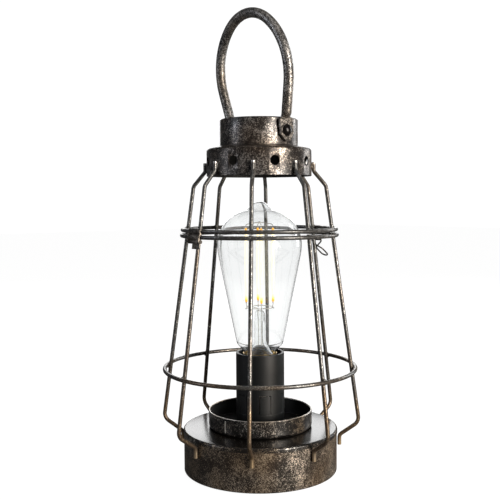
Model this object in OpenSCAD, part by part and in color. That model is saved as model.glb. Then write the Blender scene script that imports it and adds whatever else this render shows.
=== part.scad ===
// Cordless lantern table lamp: a steel drum base with a lampholder and a filament bulb, inside a
// hinged cage of bent wires with a vented collar, a cap and a swinging carry handle.
// Millimetres. Origin on the table under the middle of the base, +Z up.
// The cage hinge is on the -X side, its latch on the +X side, and the handle turns about Y.

/* [Base] */
// Outer diameter of the base drum
base_d = 118; // [116:0.5:130]
// Height of the drum from its lower edge to the edge of its top
base_h = 32.4; // [32:0.1:45]
// Thickness of the sheet steel of drum, top and dish
sheet_t = 0.8; // [0.6:0.1:1]
// Depth of the skirt of the pressed top over the drum
skirt_h = 3.4; // [2.5:0.1:6]
// Rounding of the edge of the pressed top
top_edge_r = 1.6; // [1:0.1:2]
// Rise of the flat middle of the top above its edge
deck_rise = 0.6; // [0:0.1:1.5]
// Thickness of the feet pads
foot_t = 2; // [1.5:0.1:3]
// Diameter of a foot pad
foot_d = 10; // [6:0.5:10]
// Distance of the middle of a foot pad from the drum's wall
foot_in = 7.8; // [6:0.1:8.5]
// Height of the drum's lower edge above the table
foot_rise = 1; // [0.5:0.1:1.2]

/* [Dish] */
// Outer diameter of the dish round the lampholder
dish_d = 79; // [60:0.5:90]
// Height of the dish above the base top
dish_h = 13.2; // [8:0.1:20]
// Width of the bead along the rim of the dish
rim_bead_d = 1.4; // [1:0.1:2]
// Direction of the seam of the dish, in degrees from +X
dish_seam_at = 192; // [0:1:359]

/* [Lampholder] */
// Outer diameter of the lampholder
holder_d = 36.9; // [36:0.1:42]
// Height of the lampholder above the floor of the dish
holder_h = 56; // [54:0.5:62]
// Wall of the lampholder's skirt
holder_wall = 1.8; // [1.2:0.1:2.4]
// Height of the lower half of the lampholder
holder_base_h = 11; // [10:0.5:12]
// Width of a snap tongue in the skirt
tongue_w = 8; // [5:0.5:9]
// Height of a snap tongue
tongue_h = 14; // [8:0.5:16]
// Width of the gap round a tongue
tongue_gap = 0.5; // [0.3:0.1:0.8]
// Number of snap tongues
tongue_n = 6; // [2:1:6]
// Direction of the first tongue, in degrees from +X
tongue_at = 243; // [0:1:359]
// Outer diameter of the hollow threaded pipe that clamps the lampholder
nipple_d = 10; // [9:0.5:10.5]
// Bore of the threaded pipe
nipple_bore_d = 8; // [6:0.5:8]
// Thickness of a pipe nut
nipple_nut_t = 2.8; // [2:0.1:4]

/* [Bulb] */
// Largest diameter of the bulb's glass
bulb_d = 64.2; // [58:0.2:66]
// Height of the glass from the brass cap's top to the tip
bulb_glass_h = 115.5; // [108:0.5:118]
// Distance from the tip down to the widest place of the glass
bulb_belly_drop = 32.6; // [30:0.2:36]
// Thickness of the glass
glass_t = 0.8; // [0.6:0.1:1.2]
// Diameter of the bulb's brass screw cap
cap_thread_d = 26; // [25.5:0.1:26.2]
// Height of the brass screw cap
cap_thread_h = 21; // [18:0.5:22]
// Length of a filament stick
filament_l = 58.5; // [40:0.5:62]
// Diameter of a filament stick
filament_d = 2; // [1.4:0.1:2.6]
// Distance of the filament sticks from the middle
filament_r = 10.3; // [8:0.1:11]
// Direction of the first filament stick, in degrees from +X
filament_at = 58; // [0:1:89]
// Diameter of the glass stem in the bulb
stem_d = 8.7; // [6:0.1:9]
// Height of the glass stem above the brass cap's top
stem_h = 32.5; // [26:0.5:34]

/* [Cage] */
// Diameter of the cage wires and rings
wire_d = 3; // [2.6:0.1:3.2]
// Number of upright wires
wire_n = 8; // [8:4:12]
// Radius of the cage at its widest place
widest_r = 74.3; // [72:0.1:80]
// Height of the widest place above the table
widest_z = 46; // [44:0.5:48]
// Radius of the cage where its halves meet
waist_r = 55.5; // [52:0.1:60]
// Height of the low ring above the table
low_ring_z = 79.5; // [65:0.5:110]
// Height of the ring at the upper end of the lower cage
joint_ring_z = 180.6; // [174:0.2:190]
// Gap between the rings where the halves meet
ring_gap = 1.2; // [1:0.1:2]
// Height of the lower wire ends above the table
wire_foot_z = 20.4; // [14:0.2:22]
// Height at which the lower wires leave the drum
wire_leave_z = 27.9; // [26:0.1:28.5]
// Slope of the lower bend, in degrees above level
low_slope = 35; // [30:1:40]
// Bend radius at the drum
foot_bend_r = 4; // [3:0.5:5]
// Bend radius at the widest place
wide_bend_r = 7; // [5:0.5:8]
// Bend radius of the upper wires at the shoulder
shoulder_bend_r = 6; // [4:0.5:8]
// Bend radius of the upper wires at the collar
collar_bend_r = 3.5; // [3:0.5:4]
// Slope of the upper bend, in degrees above level
high_slope = 50; // [46:1:54]
// Gap left for the weld where round parts touch
weld_gap = 0.05; // [0.02:0.01:0.1]

/* [Collar and cap] */
// Outer diameter of the vented collar
collar_d = 79.2; // [76:0.2:84]
// Height of the collar's wall
collar_h = 20.7; // [18:0.1:26]
// Rise of the collar's shoulder from its wall to the cap
shoulder_rise = 2; // [1.5:0.1:4]
// Distance from the lid's ring up to the collar
lid_cage_h = 40; // [36:0.5:46]
// Length of wire welded along the collar
wire_on_collar = 10.2; // [8:0.2:12]
// Thickness of the collar and the cap
collar_t = 1; // [0.8:0.1:1.2]
// Diameter of a vent hole
vent_d = 7.1; // [4:0.1:8]
// Number of vent holes
vent_n = 8; // [4:4:8]
// Height of the vent holes above the collar's lower edge
vent_up = 10.5; // [8:0.1:11]
// Outer diameter of the cap
cap_d = 59; // [52:0.2:60]
// Height of the cap
cap_h = 19.7; // [19:0.1:26]
// Diameter of the opening between collar and cap
throat_d = 50; // [40:0.5:50]

/* [Handle] */
// Diameter of the handle's tube
handle_d = 7.5; // [6:0.1:8]
// Half the width of the handle, to the middle of its tube
handle_half_w = 40; // [38:0.2:44]
// Height of the widest place of the handle above its pivot
handle_wide_up = 44; // [42:0.5:60]
// Bend radius of the handle's sides
handle_side_r = 46; // [45:0.5:50]
// Bend radius of the handle's crown
handle_crown_r = 36; // [32:0.5:37]
// Splay of the handle's legs, in degrees
leg_splay = 14; // [13:0.5:16]
// Lean of the handle towards the hinge at rest, in degrees
handle_lean = 7; // [0:0.5:12]
// Width of the flattened ends of the handle
tab_w = 12.4; // [11:0.2:13]
// Thickness of the flattened ends
tab_t = 2.2; // [1.8:0.1:2.6]
// Length of a flattened end above its pivot
tab_up = 9; // [8.8:0.1:11]
// Length of a flattened end below its pivot
tab_down = 7.8; // [7:0.1:8.4]
// Length of the chamfers at the lower corners of a flattened end
tab_chamfer = 5.2; // [3:0.1:5.6]
// Diameter of the pivot screws
pivot_d = 4; // [3:0.5:4.5]
// Diameter of the pivot screws' domed heads
pivot_head_d = 8.8; // [8:0.1:9.4]
// Height of the domed heads
pivot_head_h = 2.4; // [1.6:0.1:3]
// Thickness of the washers between handle and cap
washer_t = 0.7; // [0.5:0.1:1]
// Play of the flattened ends along the pivot
pivot_play = 0.1; // [0.1:0.05:0.2]
// Height of a pivot nut
pivot_nut_t = 3; // [2:0.1:3.2]

/* [Hinge] */
// Radius of the hinge barrel
barrel_r = 1.5; // [1.4:0.05:1.7]
// Diameter of the hinge pin
hinge_pin_d = 1.6; // [1.2:0.1:1.8]
// Width of the hinge barrel
hinge_w = 14.2; // [13:0.2:16]
// Width of the lower leaf
lower_leaf_w = 9.2; // [7:0.2:9.6]
// Thickness of the hinge leaves
leaf_t = 0.8; // [0.7:0.1:1]
// Length of the lower leaf below the barrel
leaf_drop = 5.2; // [4:0.2:8]
// Gap between the knuckles
knuckle_gap = 0.2; // [0.15:0.05:0.3]
// Gap between moving pieces of hinge and cage
moving_gap = 0.3; // [0.3:0.05:0.5]
// Radial clearance of every pin in its hole
pin_clear = 0.05; // [0.02:0.01:0.1]

/* [Latch] */
// Diameter of the latch wire
bail_d = 1.2; // [1:0.1:1.3]
// Width of the latch bracket
latch_w = 8.6; // [7:0.2:10]
// Thickness of the latch bracket
latch_t = 1.2; // [1:0.1:1.3]
// Distance from the latch pivot down to the finger loop
bail_leg = 6; // [5:0.1:7]
// Length of the finger loop
loop_l = 13.2; // [11:0.2:15]
// Half the width of the finger loop
loop_half_w = 3.4; // [2.8:0.1:3.8]
// Slope of the finger loop from the wire, in degrees
loop_slope = 43; // [38:0.5:48]
// Reach of the keeper's tongue
keeper_reach = 3.4; // [2:0.1:3.6]

/* [Battery tray] */
// Diameter of a battery cell
cell_d = 14.3; // [13:0.1:14.5]
// Length of a battery cell with its button
cell_l = 50.4; // [48:0.1:51]
// Number of battery cells
cell_n = 3; // [1:1:3]
// Distance between the middles of the cells
cell_pitch = 15; // [14.8:0.1:15.4]
// Thickness of the tray's floor and walls
tray_t = 2; // [1.6:0.1:2.4]
// Room at each end of the cells for the contacts
contact_room = 4.4; // [3.6:0.1:5]
// Travel of the switch knob
switch_travel = 4; // [3:0.5:5]
// Distance of the switch from the middle of the base
switch_y = 36; // [32:0.5:40]
// Distance of the tray screws from the drum's wall
tray_screw_in = 6.8; // [6:0.1:8]
// Diameter of the tray screws
screw_d = 3; // [2.6:0.1:3.2]
// Length of the tray screws
screw_l = 10; // [8:0.5:12]
// Diameter of a supply lead
lead_d = 1.4; // [1.2:0.1:1.6]

/* [Hidden] */
$fn = 48;
hair = 0.02;            // keeps faces that lie together from crossing
seat_gap = 0.3;         // between a moving piece and what it rests over
bend_thin = 0.03;       // how much a wire or tube thins in a bend
bend_lap = 0.2;         // how far a straight run reaches into its bend

// Base heights
deck_edge_z = foot_rise + base_h;
deck_z = deck_edge_z + deck_rise;
base_r = base_d / 2;
drum_r = base_r - sheet_t / 2;          // outside of the drum, inside the top's skirt
drum_in_r = drum_r - sheet_t;
tray_screw_r = drum_in_r - tray_screw_in;
foot_circle_r = drum_in_r - foot_in;
tray_z = foot_t;                        // underside of the tray
tray_top_z = tray_z + tray_t;
dish_r = dish_d / 2;
dish_floor_z = deck_z + hair + sheet_t;

// Lampholder heights
holder_z = dish_floor_z + hair;
holder_top_z = holder_z + holder_h;
holder_r = holder_d / 2;
holder_in_r = holder_r - holder_wall;
split_z = holder_z + holder_base_h;     // where the skirt stands on the lower half
nipple_r = nipple_d / 2;
nut_r = nipple_r + 3;

// Bulb heights: the brass cap's top lies just under the holder's rim
bulb_cap_top_z = holder_top_z - 0.4;
bulb_cap_z = bulb_cap_top_z - cap_thread_h;
bulb_tip_z = bulb_cap_top_z + bulb_glass_h;
belly_z = bulb_tip_z - bulb_belly_drop;
insulator_h = 4;
contact_h = 2;
bulb_foot_z = bulb_cap_z - insulator_h - contact_h;
thread_r = cap_thread_d / 2;
shell_in_r = thread_r + seat_gap;
shell_t = 0.4;
core_top_z = bulb_foot_z - 2;           // top of the insulating core, under the contact

// Cage line: a leaning straight wire through the widest place and the waist
lid_ring_z = joint_ring_z + wire_d + ring_gap;
cage_lean = atan((widest_r - waist_r) / (joint_ring_z - widest_z));
function line_r(z) = widest_r - (z - widest_z) * tan(cage_lean);
function ring_r(z) = line_r(z) + (wire_d + weld_gap) / cos(cage_lean);
wire_r = wire_d / 2;
foot_r = base_r + wire_r + weld_gap;    // middle of the wires on the drum
wire_step = 360 / wire_n;

// Collar and cap heights
collar_z = lid_ring_z + lid_cage_h;
collar_r = collar_d / 2;
collar_top_z = collar_z + collar_h;
collar_wire_r = collar_r + wire_r + weld_gap;
cap_r = cap_d / 2;
cap_z = collar_top_z + shoulder_rise + hair;
cap_top_z = cap_z + cap_h;
collar_leave_z = collar_z + 3.6;        // where the upper wires leave the collar

// Handle
pivot_z = cap_z + cap_h / 2;
washer_y = cap_r + weld_gap;
tab_in_y = washer_y + washer_t + pivot_play;
tab_y = tab_in_y + tab_t / 2;
head_y = tab_in_y + tab_t + pivot_play;
crown_turn = acos((handle_side_r - handle_half_w) / (handle_side_r - handle_crown_r));
crown_up = handle_wide_up + (handle_side_r - handle_crown_r) * sin(crown_turn);
leg_top = [
    handle_half_w - handle_side_r * (1 - cos(leg_splay)),
    handle_wide_up - handle_side_r * sin(leg_splay)
];
leg_foot_up = tab_up + 3.5;             // where the round leg starts to flatten
leg_foot = [leg_top[0] - (leg_top[1] - leg_foot_up) * tan(leg_splay), leg_foot_up];

// Hinge and latch stand on the -X and +X wires. Places are given across and along the wire.
ring_across = wire_d + weld_gap;
joint_ring_along = -ring_across * tan(cage_lean);
lid_ring_along = joint_ring_along + (lid_ring_z - joint_ring_z) / cos(cage_lean);
face_across = wire_r + weld_gap;        // where a flat piece lies on the wire
barrel_across = face_across + leaf_t + barrel_r - 0.1;
barrel_reach = wire_r + barrel_r + moving_gap + 0.05;
barrel_along = joint_ring_along - sqrt(pow(barrel_reach, 2) - pow(barrel_across - ring_across, 2));
leaf_in = ring_across + wire_r + moving_gap;
leaf_out = leaf_in + leaf_t;
side_knuckle_w = (hinge_w - lower_leaf_w) / 2 - knuckle_gap;
eye_r = bail_d / 2 + pin_clear + 0.75;
eye_across = face_across + eye_r;
eye_along = joint_ring_along - wire_r - 3.4;
bail_half_w = latch_w / 2 + 0.9;

// Battery compartment, across the base below the middle
bay_l = cell_l + 2 * contact_room;
bay_w = cell_n * cell_pitch + 1;
bay_y = -10;
bay_h = cell_d + 3;
door_t = 1.8;
door_gap = 0.3;
door_pin_d = 1.6;
door_z = tray_z + door_t / 2;           // height of the door's hinge pins
door_x = -bay_l / 2 + door_gap + door_t / 2;
cell_z = tray_z + door_t + 0.4 + cell_d / 2;

// Slide switch
knob_l = 4;
knob_w = 3;
slot_l = knob_l + switch_travel + 1;
slot_w = knob_w + 0.6;

// Supply leads
lead_out_x = 6;
lead_out_y = bay_y + 4;
lead_up_x = 1.5;                        // beside the middle of the threaded pipe
terminal_x = 8;
pipe_below = 5.5;                       // how far the threaded pipe hangs below the base top
pipe_z = deck_z - sheet_t - pipe_below;

// ---- helpers ----

// Points of an arc in the plane
function arc(middle, r, from, to, n) = [
    for (i = [0:n]) middle + r * [cos(from + (to - from) * i / n), sin(from + (to - from) * i / n)]
];

// Unit vector from one point to another
function heading(a, b) = (b - a) / norm(b - a);

// Turn at corner i of a line of points, in degrees, left positive
function turn_at(p, i) =
    let (u = heading(p[i - 1], p[i]), v = heading(p[i], p[i + 1]))
    asin(u[0] * v[1] - u[1] * v[0]);

// Length taken from each side of corner i by its bend
function bend_cut(p, r, i) =
    (i == 0 || i == len(p) - 1) ? 0 : r[i] * tan(abs(turn_at(p, i)) / 2);

// A round rod between two points of the plane
module rod(a, b, d) {
    u = b - a;
    translate([a[0], a[1], 0])
        rotate([0, 0, atan2(u[1], u[0])])
            rotate([0, 90, 0]) cylinder(h = norm(u), d = d);
}

// The bend at corner i, a piece of a round ring, drawn a little thinner as bent wire is
module bend(p, r, i, d) {
    u = heading(p[i - 1], p[i]);
    turn = turn_at(p, i);
    side = sign(turn);
    start = p[i] - u * bend_cut(p, r, i);
    middle = start + r[i] * side * [-u[1], u[0]];
    from = atan2(start[1] - middle[1], start[0] - middle[0]);
    translate([middle[0], middle[1], 0])
        rotate([0, 0, turn > 0 ? from : from + turn])
            rotate_extrude(angle = abs(turn)) translate([r[i], 0]) circle(d = d - bend_thin);
}

// A wire bent in one plane: straight runs through the corner points with an arc at each corner
module bent_wire(p, r, d) {
    last = len(p) - 1;
    union() {
        for (i = [0:last - 1]) {
            u = heading(p[i], p[i + 1]);
            from = p[i] + u * (bend_cut(p, r, i) - (i > 0 ? bend_lap : 0));
            to = p[i + 1] - u * (bend_cut(p, r, i + 1) - (i < last - 1 ? bend_lap : 0));
            rod(from, to, d);
        }
        for (i = [1:len(p) - 2]) bend(p, r, i, d);
    }
}

// Stands a plane drawing upright on the radius at the given direction
module upright(at) {
    rotate([0, 0, at]) rotate([90, 0, 0]) children();
}

// A tube with flat sides along any line of points in space
module swept_tube(points, r, sides) {
    n = len(points);
    way = [for (i = [0:n - 1]) heading(points[max(i - 1, 0)], points[min(i + 1, n - 1)])];
    function square_to(d) =
        let (a = abs(d[2]) < 0.8 ? [0, 0, 1] : [1, 0, 0], c = cross(a, d)) c / norm(c);
    frames = carry(way, square_to(way[0]), 0, []);
    rings = [
        for (i = [0:n - 1], k = [0:sides - 1])
            let (e = frames[i], f = cross(way[i], e), a = 360 * k / sides)
            points[i] + r * (cos(a) * e + sin(a) * f)
    ];
    walls = [
        for (i = [0:n - 2], k = [0:sides - 1])
            let (a = i * sides + k, b = i * sides + (k + 1) % sides)
            each [[a, b, b + sides], [a, b + sides, a + sides]]
    ];
    ends = [
        for (k = [1:sides - 2]) each [
            [0, k + 1, k],
            [(n - 1) * sides, (n - 1) * sides + k, (n - 1) * sides + k + 1]
        ]
    ];
    polyhedron(points = rings, faces = [for (f = concat(walls, ends)) [f[0], f[2], f[1]]]);
}

// Carries a side direction along a line without twisting it
function carry(way, e, i, done) =
    i == len(way) ? done :
    let (flat = e - way[i] * (e * way[i]), unit = flat / norm(flat))
    carry(way, unit, i + 1, concat(done, [unit]));

// Puts pieces on a cage wire: X across the wire and outwards, Z along it and up
module on_wire(at) {
    rotate([0, 0, at])
        translate([line_r(joint_ring_z), 0, joint_ring_z])
            rotate([0, -cage_lean, 0]) children();
}

// Extrudes a drawing of across and along into a strip of the given width
module strip(w, at = 0) {
    translate([0, at + w / 2, 0]) rotate([90, 0, 0]) linear_extrude(w) children();
}

// ---- base ----

module base_drum() {
    color("#5a4a3a")
        difference() {
            translate([0, 0, foot_rise])
                cylinder(h = base_h - top_edge_r - 0.4 - hair, r = drum_r);
            translate([0, 0, foot_rise - 1]) cylinder(h = base_h + 2, r = drum_in_r);
        }
}

module base_top() {
    skirt_z = deck_edge_z - skirt_h;
    edge = [base_r - top_edge_r, deck_edge_z - top_edge_r];
    flat_r = dish_r + 1;
    color("#2b2522")
        rotate_extrude()
            polygon(concat(
                [
                    [nipple_r + pin_clear, deck_z - sheet_t],
                    [flat_r, deck_z - sheet_t],
                    [edge[0], deck_edge_z - sheet_t]
                ],
                arc(edge, top_edge_r - sheet_t, 90, 0, 5),
                [[drum_r + hair, edge[1] - 0.4], [drum_r + hair, skirt_z], [base_r, skirt_z]],
                arc(edge, top_edge_r, 0, 90, 5),
                [[flat_r, deck_z], [nipple_r + pin_clear, deck_z]]
            ));
}

// Screw lugs spot-welded inside the drum
lug_at = [30, 150, 270];
module base_lugs() {
    lug_w = 10;
    lug_t = 1.2;
    lug_h = 9;
    lug_reach = tray_screw_in + lug_w / 2;
    color("#8d8d88")
        for (a = lug_at) rotate([0, 0, a])
            difference() {
                intersection() {
                    translate([0, 0, tray_top_z + hair])
                        difference() {
                            cylinder(h = lug_h, r = drum_in_r - hair);
                            translate([0, 0, lug_t]) cylinder(h = lug_h, r = drum_in_r - lug_t);
                        }
                    translate([drum_in_r - lug_reach, -lug_w / 2, tray_z])
                        cube([lug_reach, lug_w, lug_h + tray_top_z]);
                }
                translate([tray_screw_r, 0, tray_z])
                    cylinder(h = lug_h, d = screw_d + 2 * pin_clear);
            }
}

module base_screws() {
    head_h = screw_d / 2;
    color("#77777a")
        for (a = lug_at) rotate([0, 0, a]) translate([tray_screw_r, 0, tray_z]) {
            cylinder(h = screw_l, d = screw_d);
            cylinder(h = head_h, r1 = screw_d - 0.1, r2 = screw_d / 2);
        }
}

module base_feet() {
    color("#222222")
        for (a = [45:90:315]) rotate([0, 0, a])
            translate([foot_circle_r, 0, 0]) cylinder(h = foot_t - hair, d = foot_d);
}

module battery_tray() {
    color("#1d1d1f")
        difference() {
            union() {
                translate([0, 0, tray_z]) cylinder(h = tray_t, r = drum_in_r - 0.1);
                translate([-bay_l / 2 - tray_t, bay_y - bay_w / 2 - tray_t, tray_z])
                    cube([bay_l + 2 * tray_t, bay_w + 2 * tray_t, bay_h + door_t + 0.4 + tray_t]);
            }
            translate([-bay_l / 2, bay_y - bay_w / 2, tray_z - 1])
                cube([bay_l, bay_w, bay_h + door_t + 1.4]);
            // thumb notch at the free edge of the door
            translate([bay_l / 2 - 3, bay_y, tray_z - 1]) cylinder(h = 1 + 1.2, r = 8);
            // bearings of the door's pins
            translate([door_x, bay_y, door_z]) rotate([90, 0, 0])
                cylinder(h = bay_w + 3.2, d = door_pin_d + 2 * pin_clear, center = true);
            translate([-slot_l / 2, switch_y - slot_w / 2, tray_z - 1])
                cube([slot_l, slot_w, tray_t + 2]);
            for (a = lug_at) rotate([0, 0, a]) translate([tray_screw_r, 0, tray_z - 1]) {
                cylinder(h = tray_t + 2, d = screw_d + 2 * pin_clear);
                cylinder(h = 1.1 + screw_d / 2, r1 = screw_d + 1, r2 = screw_d / 2);
            }
            // way out for the two supply leads
            for (s = [-1, 1]) translate([s * lead_out_x, lead_out_y, tray_z + bay_h])
                cylinder(h = 8, d = lead_d + 0.2);
        }
}

module battery_cells() {
    button_l = 1.4;
    color("#3f5f8a")
        for (k = [0:cell_n - 1]) {
            way = k % 2 == 0 ? 1 : -1;
            translate([0, bay_y + (k - (cell_n - 1) / 2) * cell_pitch, cell_z])
                rotate([0, 90 * way, 0]) translate([0, 0, -cell_l / 2]) {
                    cylinder(h = cell_l - button_l, d = cell_d);
                    cylinder(h = cell_l, d = 5.5);
                }
        }
}

module battery_contacts() {
    plate_t = 0.4;
    plate_w = 11;
    color("#b9bcc0")
        for (k = [0:cell_n - 1], e = [-1, 1])
            translate([
                e > 0 ? bay_l / 2 - plate_t - hair : -bay_l / 2 + hair,
                bay_y + (k - (cell_n - 1) / 2) * cell_pitch - plate_w / 2,
                cell_z - plate_w / 2
            ]) cube([plate_t, plate_w, plate_w]);
}

// Conical springs that press on the flat end of each cell
module battery_springs() {
    coil_n = 4;
    coil_step = 45;
    wire_r = 0.3;
    foot_r = 0.32 * cell_d;
    top_r = 0.17 * cell_d;
    last = coil_n * 360 / coil_step;
    gap = contact_room - 0.4 - hair;
    color("#c9ccd0")
        for (k = [0:cell_n - 1]) {
            way = k % 2 == 0 ? 1 : -1;
            translate([
                -way * (cell_l / 2 + gap),
                bay_y + (k - (cell_n - 1) / 2) * cell_pitch, cell_z
            ])
                rotate([0, 90 * way, 0])
                    swept_tube([
                        for (i = [0:last])
                            let (t = i / last, r = foot_r + (top_r - foot_r) * t, a = coil_step * i)
                            [r * cos(a), r * sin(a), wire_r + 0.05 + (gap - 2 * wire_r - 0.15) * t]
                    ], wire_r, 6);
        }
}

module battery_door() {
    l = bay_l - 2 * door_gap;
    w = bay_w - 2 * door_gap;
    color("#1a1a1c") {
        difference() {
            union() {
                translate([door_x, bay_y - w / 2, tray_z]) cube([l - door_t / 2, w, door_t]);
                translate([door_x, bay_y, door_z]) rotate([90, 0, 0])
                    cylinder(h = w, d = door_t, center = true);
                translate([door_x, bay_y, door_z]) rotate([90, 0, 0])
                    cylinder(h = bay_w + 2.6, d = door_pin_d, center = true);
            }
            // grip grooves near the thumb notch
            for (i = [0:3])
                translate([bay_l / 2 - 14 + 2 * i, bay_y - 7, tray_z - 1]) cube([0.8, 14, 1.4]);
        }
    }
}

module switch_body() {
    body_l = slot_l + 7;
    body_w = slot_w + 3.4;
    body_h = 6.5;
    color("#101012")
        difference() {
            translate([-body_l / 2, switch_y - body_w / 2, tray_top_z + hair])
                cube([body_l, body_w, body_h]);
            translate([-slot_l / 2, switch_y - slot_w / 2, tray_top_z - 1])
                cube([slot_l, slot_w, 4.4]);
        }
}

module switch_knob() {
    knob_z = foot_rise + 0.3;
    grip = 0.5;
    color("#d8d8d4")
        translate([-switch_travel / 2, switch_y, knob_z]) difference() {
            translate([-knob_l / 2, -knob_w / 2, 0])
                cube([knob_l, knob_w, tray_top_z + 3 - knob_z]);
            // grip grooves across the knob
            for (i = [-1:1])
                translate([1.1 * i - grip / 2, -knob_w, -0.1]) cube([grip, 2 * knob_w, 0.5]);
        }
}

// Two leads from the tray up through the threaded pipe to the lampholder
module supply_leads() {
    lead_z = tray_z + bay_h + door_t + 0.4 + tray_t;
    color("#7a1f1a")
        for (s = [-1, 1])
            swept_tube([
                [s * lead_out_x, lead_out_y, lead_z - 1.6],
                [s * lead_out_x, lead_out_y, lead_z + 0.6],
                [s * (lead_out_x - 1), lead_out_y + 1.2, lead_z + 1.5],
                [s * lead_out_x / 2, -2, lead_z + 1.9],
                [s * (lead_up_x + 0.3), -0.5, pipe_z - 0.6],
                [s * lead_up_x, 0, pipe_z + 1],
                [s * lead_up_x, 0, split_z - 4],
                [s * (lead_up_x + 1), 0, split_z - 1.6],
                [s * (terminal_x - 2), 0, split_z - 0.6],
                [s * terminal_x, 0, split_z + 1.5],
                [s * terminal_x, 0, split_z + 2.98]
            ], lead_d / 2, 8);
}

// ---- dish and lampholder ----

module gallery_dish() {
    wall_r = dish_r - sheet_t;
    rim_z = deck_z + dish_h;
    floor_z = deck_z + hair;
    color("#1d1c1b")
        difference() {
            rotate_extrude()
                union() {
                    polygon(concat(
                        [[nipple_r + pin_clear, floor_z], [dish_r - 2.2, floor_z]],
                        arc([dish_r - 2.2, floor_z + 2.2], 2.2, -90, 0, 5),
                        [[dish_r, rim_z - 0.6], [wall_r, rim_z - 0.6]],
                        arc([dish_r - 2.2, floor_z + 2.2], 2.2 - sheet_t, 0, -90, 5),
                        [[nipple_r + pin_clear, floor_z + sheet_t]]
                    ));
                    translate([dish_r - sheet_t / 2, rim_z - rim_bead_d / 2]) circle(d = rim_bead_d);
                }
            // the seam of the rolled wall, a fine groove on its outside
            rotate([0, 0, dish_seam_at])
                translate([dish_r - 0.3, -0.2, floor_z + 2.2]) cube([1, 0.4, dish_h - 4.4]);
        }
}

module threaded_nipple() {
    color("#a8a7a2")
        translate([0, 0, pipe_z]) difference() {
            cylinder(h = 16, r = nipple_r);
            translate([0, 0, -1]) cylinder(h = 18, d = nipple_bore_d);
        }
}

// One nut under the base top and one inside the lampholder
module nipple_nuts() {
    color("#b0afa9")
        for (z = [deck_z - sheet_t - hair - nipple_nut_t, holder_z + 2.5 + hair])
            translate([0, 0, z]) difference() {
                cylinder(h = nipple_nut_t, r = nut_r, $fn = 6);
                translate([0, 0, -1]) cylinder(h = nipple_nut_t + 2, r = nipple_r + hair);
            }
}

module holder_base() {
    color("#17181a")
        difference() {
            union() {
                translate([0, 0, holder_z]) cylinder(h = holder_base_h, r = holder_r);
                translate([0, 0, split_z - 0.5])
                    cylinder(h = 2.5, r = holder_in_r - pin_clear);
            }
            translate([0, 0, holder_z + 2.5]) cylinder(h = 40, r = holder_in_r - holder_wall);
            translate([0, 0, holder_z - 1]) cylinder(h = 5, r = nipple_r + pin_clear);
        }
}

module holder_skirt() {
    tongue_z = split_z + 0.6;
    color("#17181a")
        difference() {
            translate([0, 0, split_z + hair])
                cylinder(h = holder_top_z - split_z - hair, r = holder_r);
            translate([0, 0, split_z - 1]) cylinder(h = holder_h, r = holder_in_r);
            for (k = [0:tongue_n - 1]) rotate([0, 0, tongue_at + 360 * k / tongue_n])
                translate([holder_in_r - 2, 0, tongue_z]) {
                    for (s = [-1, 1])
                        translate([0, s * (tongue_w + tongue_gap) / 2 - tongue_gap / 2, 0])
                            cube([6, tongue_gap, tongue_h]);
                    translate([0, -tongue_w / 2 - tongue_gap, tongue_h - tongue_gap])
                        cube([6, tongue_w + 2 * tongue_gap, tongue_gap]);
                }
        }
}

// Insulating core that carries the screw shell and the centre contact
module holder_core() {
    core_r = holder_in_r - pin_clear - hair;
    core_z = split_z + 2.5;
    color("#e6e2d8")
        difference() {
            translate([0, 0, core_z]) cylinder(h = core_top_z - core_z, r = core_r);
            for (s = [-1, 1]) translate([s * terminal_x, 0, core_z - 1])
                cylinder(h = 2, d = lead_d + 1);
        }
}

module holder_screw_shell() {
    color("#c9a24b")
        difference() {
            translate([0, 0, core_top_z + hair])
                cylinder(h = holder_top_z - 3 - core_top_z, r = shell_in_r + shell_t);
            translate([0, 0, core_top_z + shell_t])
                cylinder(h = holder_h, r = shell_in_r);
            translate([0, 0, core_top_z - 1]) cylinder(h = 5, r = 8);
        }
}

// Centre contact: a bent spring tongue on the core
module holder_contact() {
    color("#d3b15c") {
        translate([-6, -2, core_top_z + hair]) cube([12, 4, 0.5]);
        translate([-1.5, -2, core_top_z + hair]) cube([3, 4, 2 - seat_gap]);
    }
}

// ---- cage ----

low_corner_run = (widest_r - foot_r - tan(cage_lean) * (wire_leave_z - widest_z))
    / (cos(low_slope) + tan(cage_lean) * sin(low_slope));
high_corner_run = (line_r(collar_leave_z) - collar_wire_r)
    / (cos(high_slope) - tan(cage_lean) * sin(high_slope));
lower_end_z = joint_ring_z + wire_r + 0.35;
lid_end_z = lid_ring_z - wire_r - 0.35;

module lower_wire(k) {
    color("#6b5a48")
        upright(wire_step * (k - 1))
            bent_wire([
                [foot_r, wire_foot_z],
                [foot_r, wire_leave_z],
                [foot_r + low_corner_run * cos(low_slope),
                    wire_leave_z + low_corner_run * sin(low_slope)],
                [line_r(lower_end_z), lower_end_z]
            ], [0, foot_bend_r, wide_bend_r, 0], wire_d);
}

module lid_wire(k) {
    color("#6b5a48")
        upright(wire_step * (k - 1))
            bent_wire([
                [line_r(lid_end_z), lid_end_z],
                [collar_wire_r + high_corner_run * cos(high_slope),
                    collar_leave_z - high_corner_run * sin(high_slope)],
                [collar_wire_r, collar_leave_z],
                [collar_wire_r, collar_z + wire_on_collar]
            ], [0, shoulder_bend_r, collar_bend_r, 0], wire_d);
}

module cage_ring(z) {
    color("#6b5a48")
        translate([0, 0, z]) rotate_extrude() translate([ring_r(z), 0]) circle(d = wire_d);
}

module low_ring() {
    cage_ring(low_ring_z);
}

module joint_ring() {
    cage_ring(joint_ring_z);
}

module lid_ring() {
    cage_ring(lid_ring_z);
}

// ---- hinge ----

module barrel_bore() {
    translate([barrel_across, barrel_along]) circle(d = hinge_pin_d + 2 * pin_clear);
}

module barrel_round() {
    translate([barrel_across, barrel_along]) circle(r = barrel_r);
}

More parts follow.
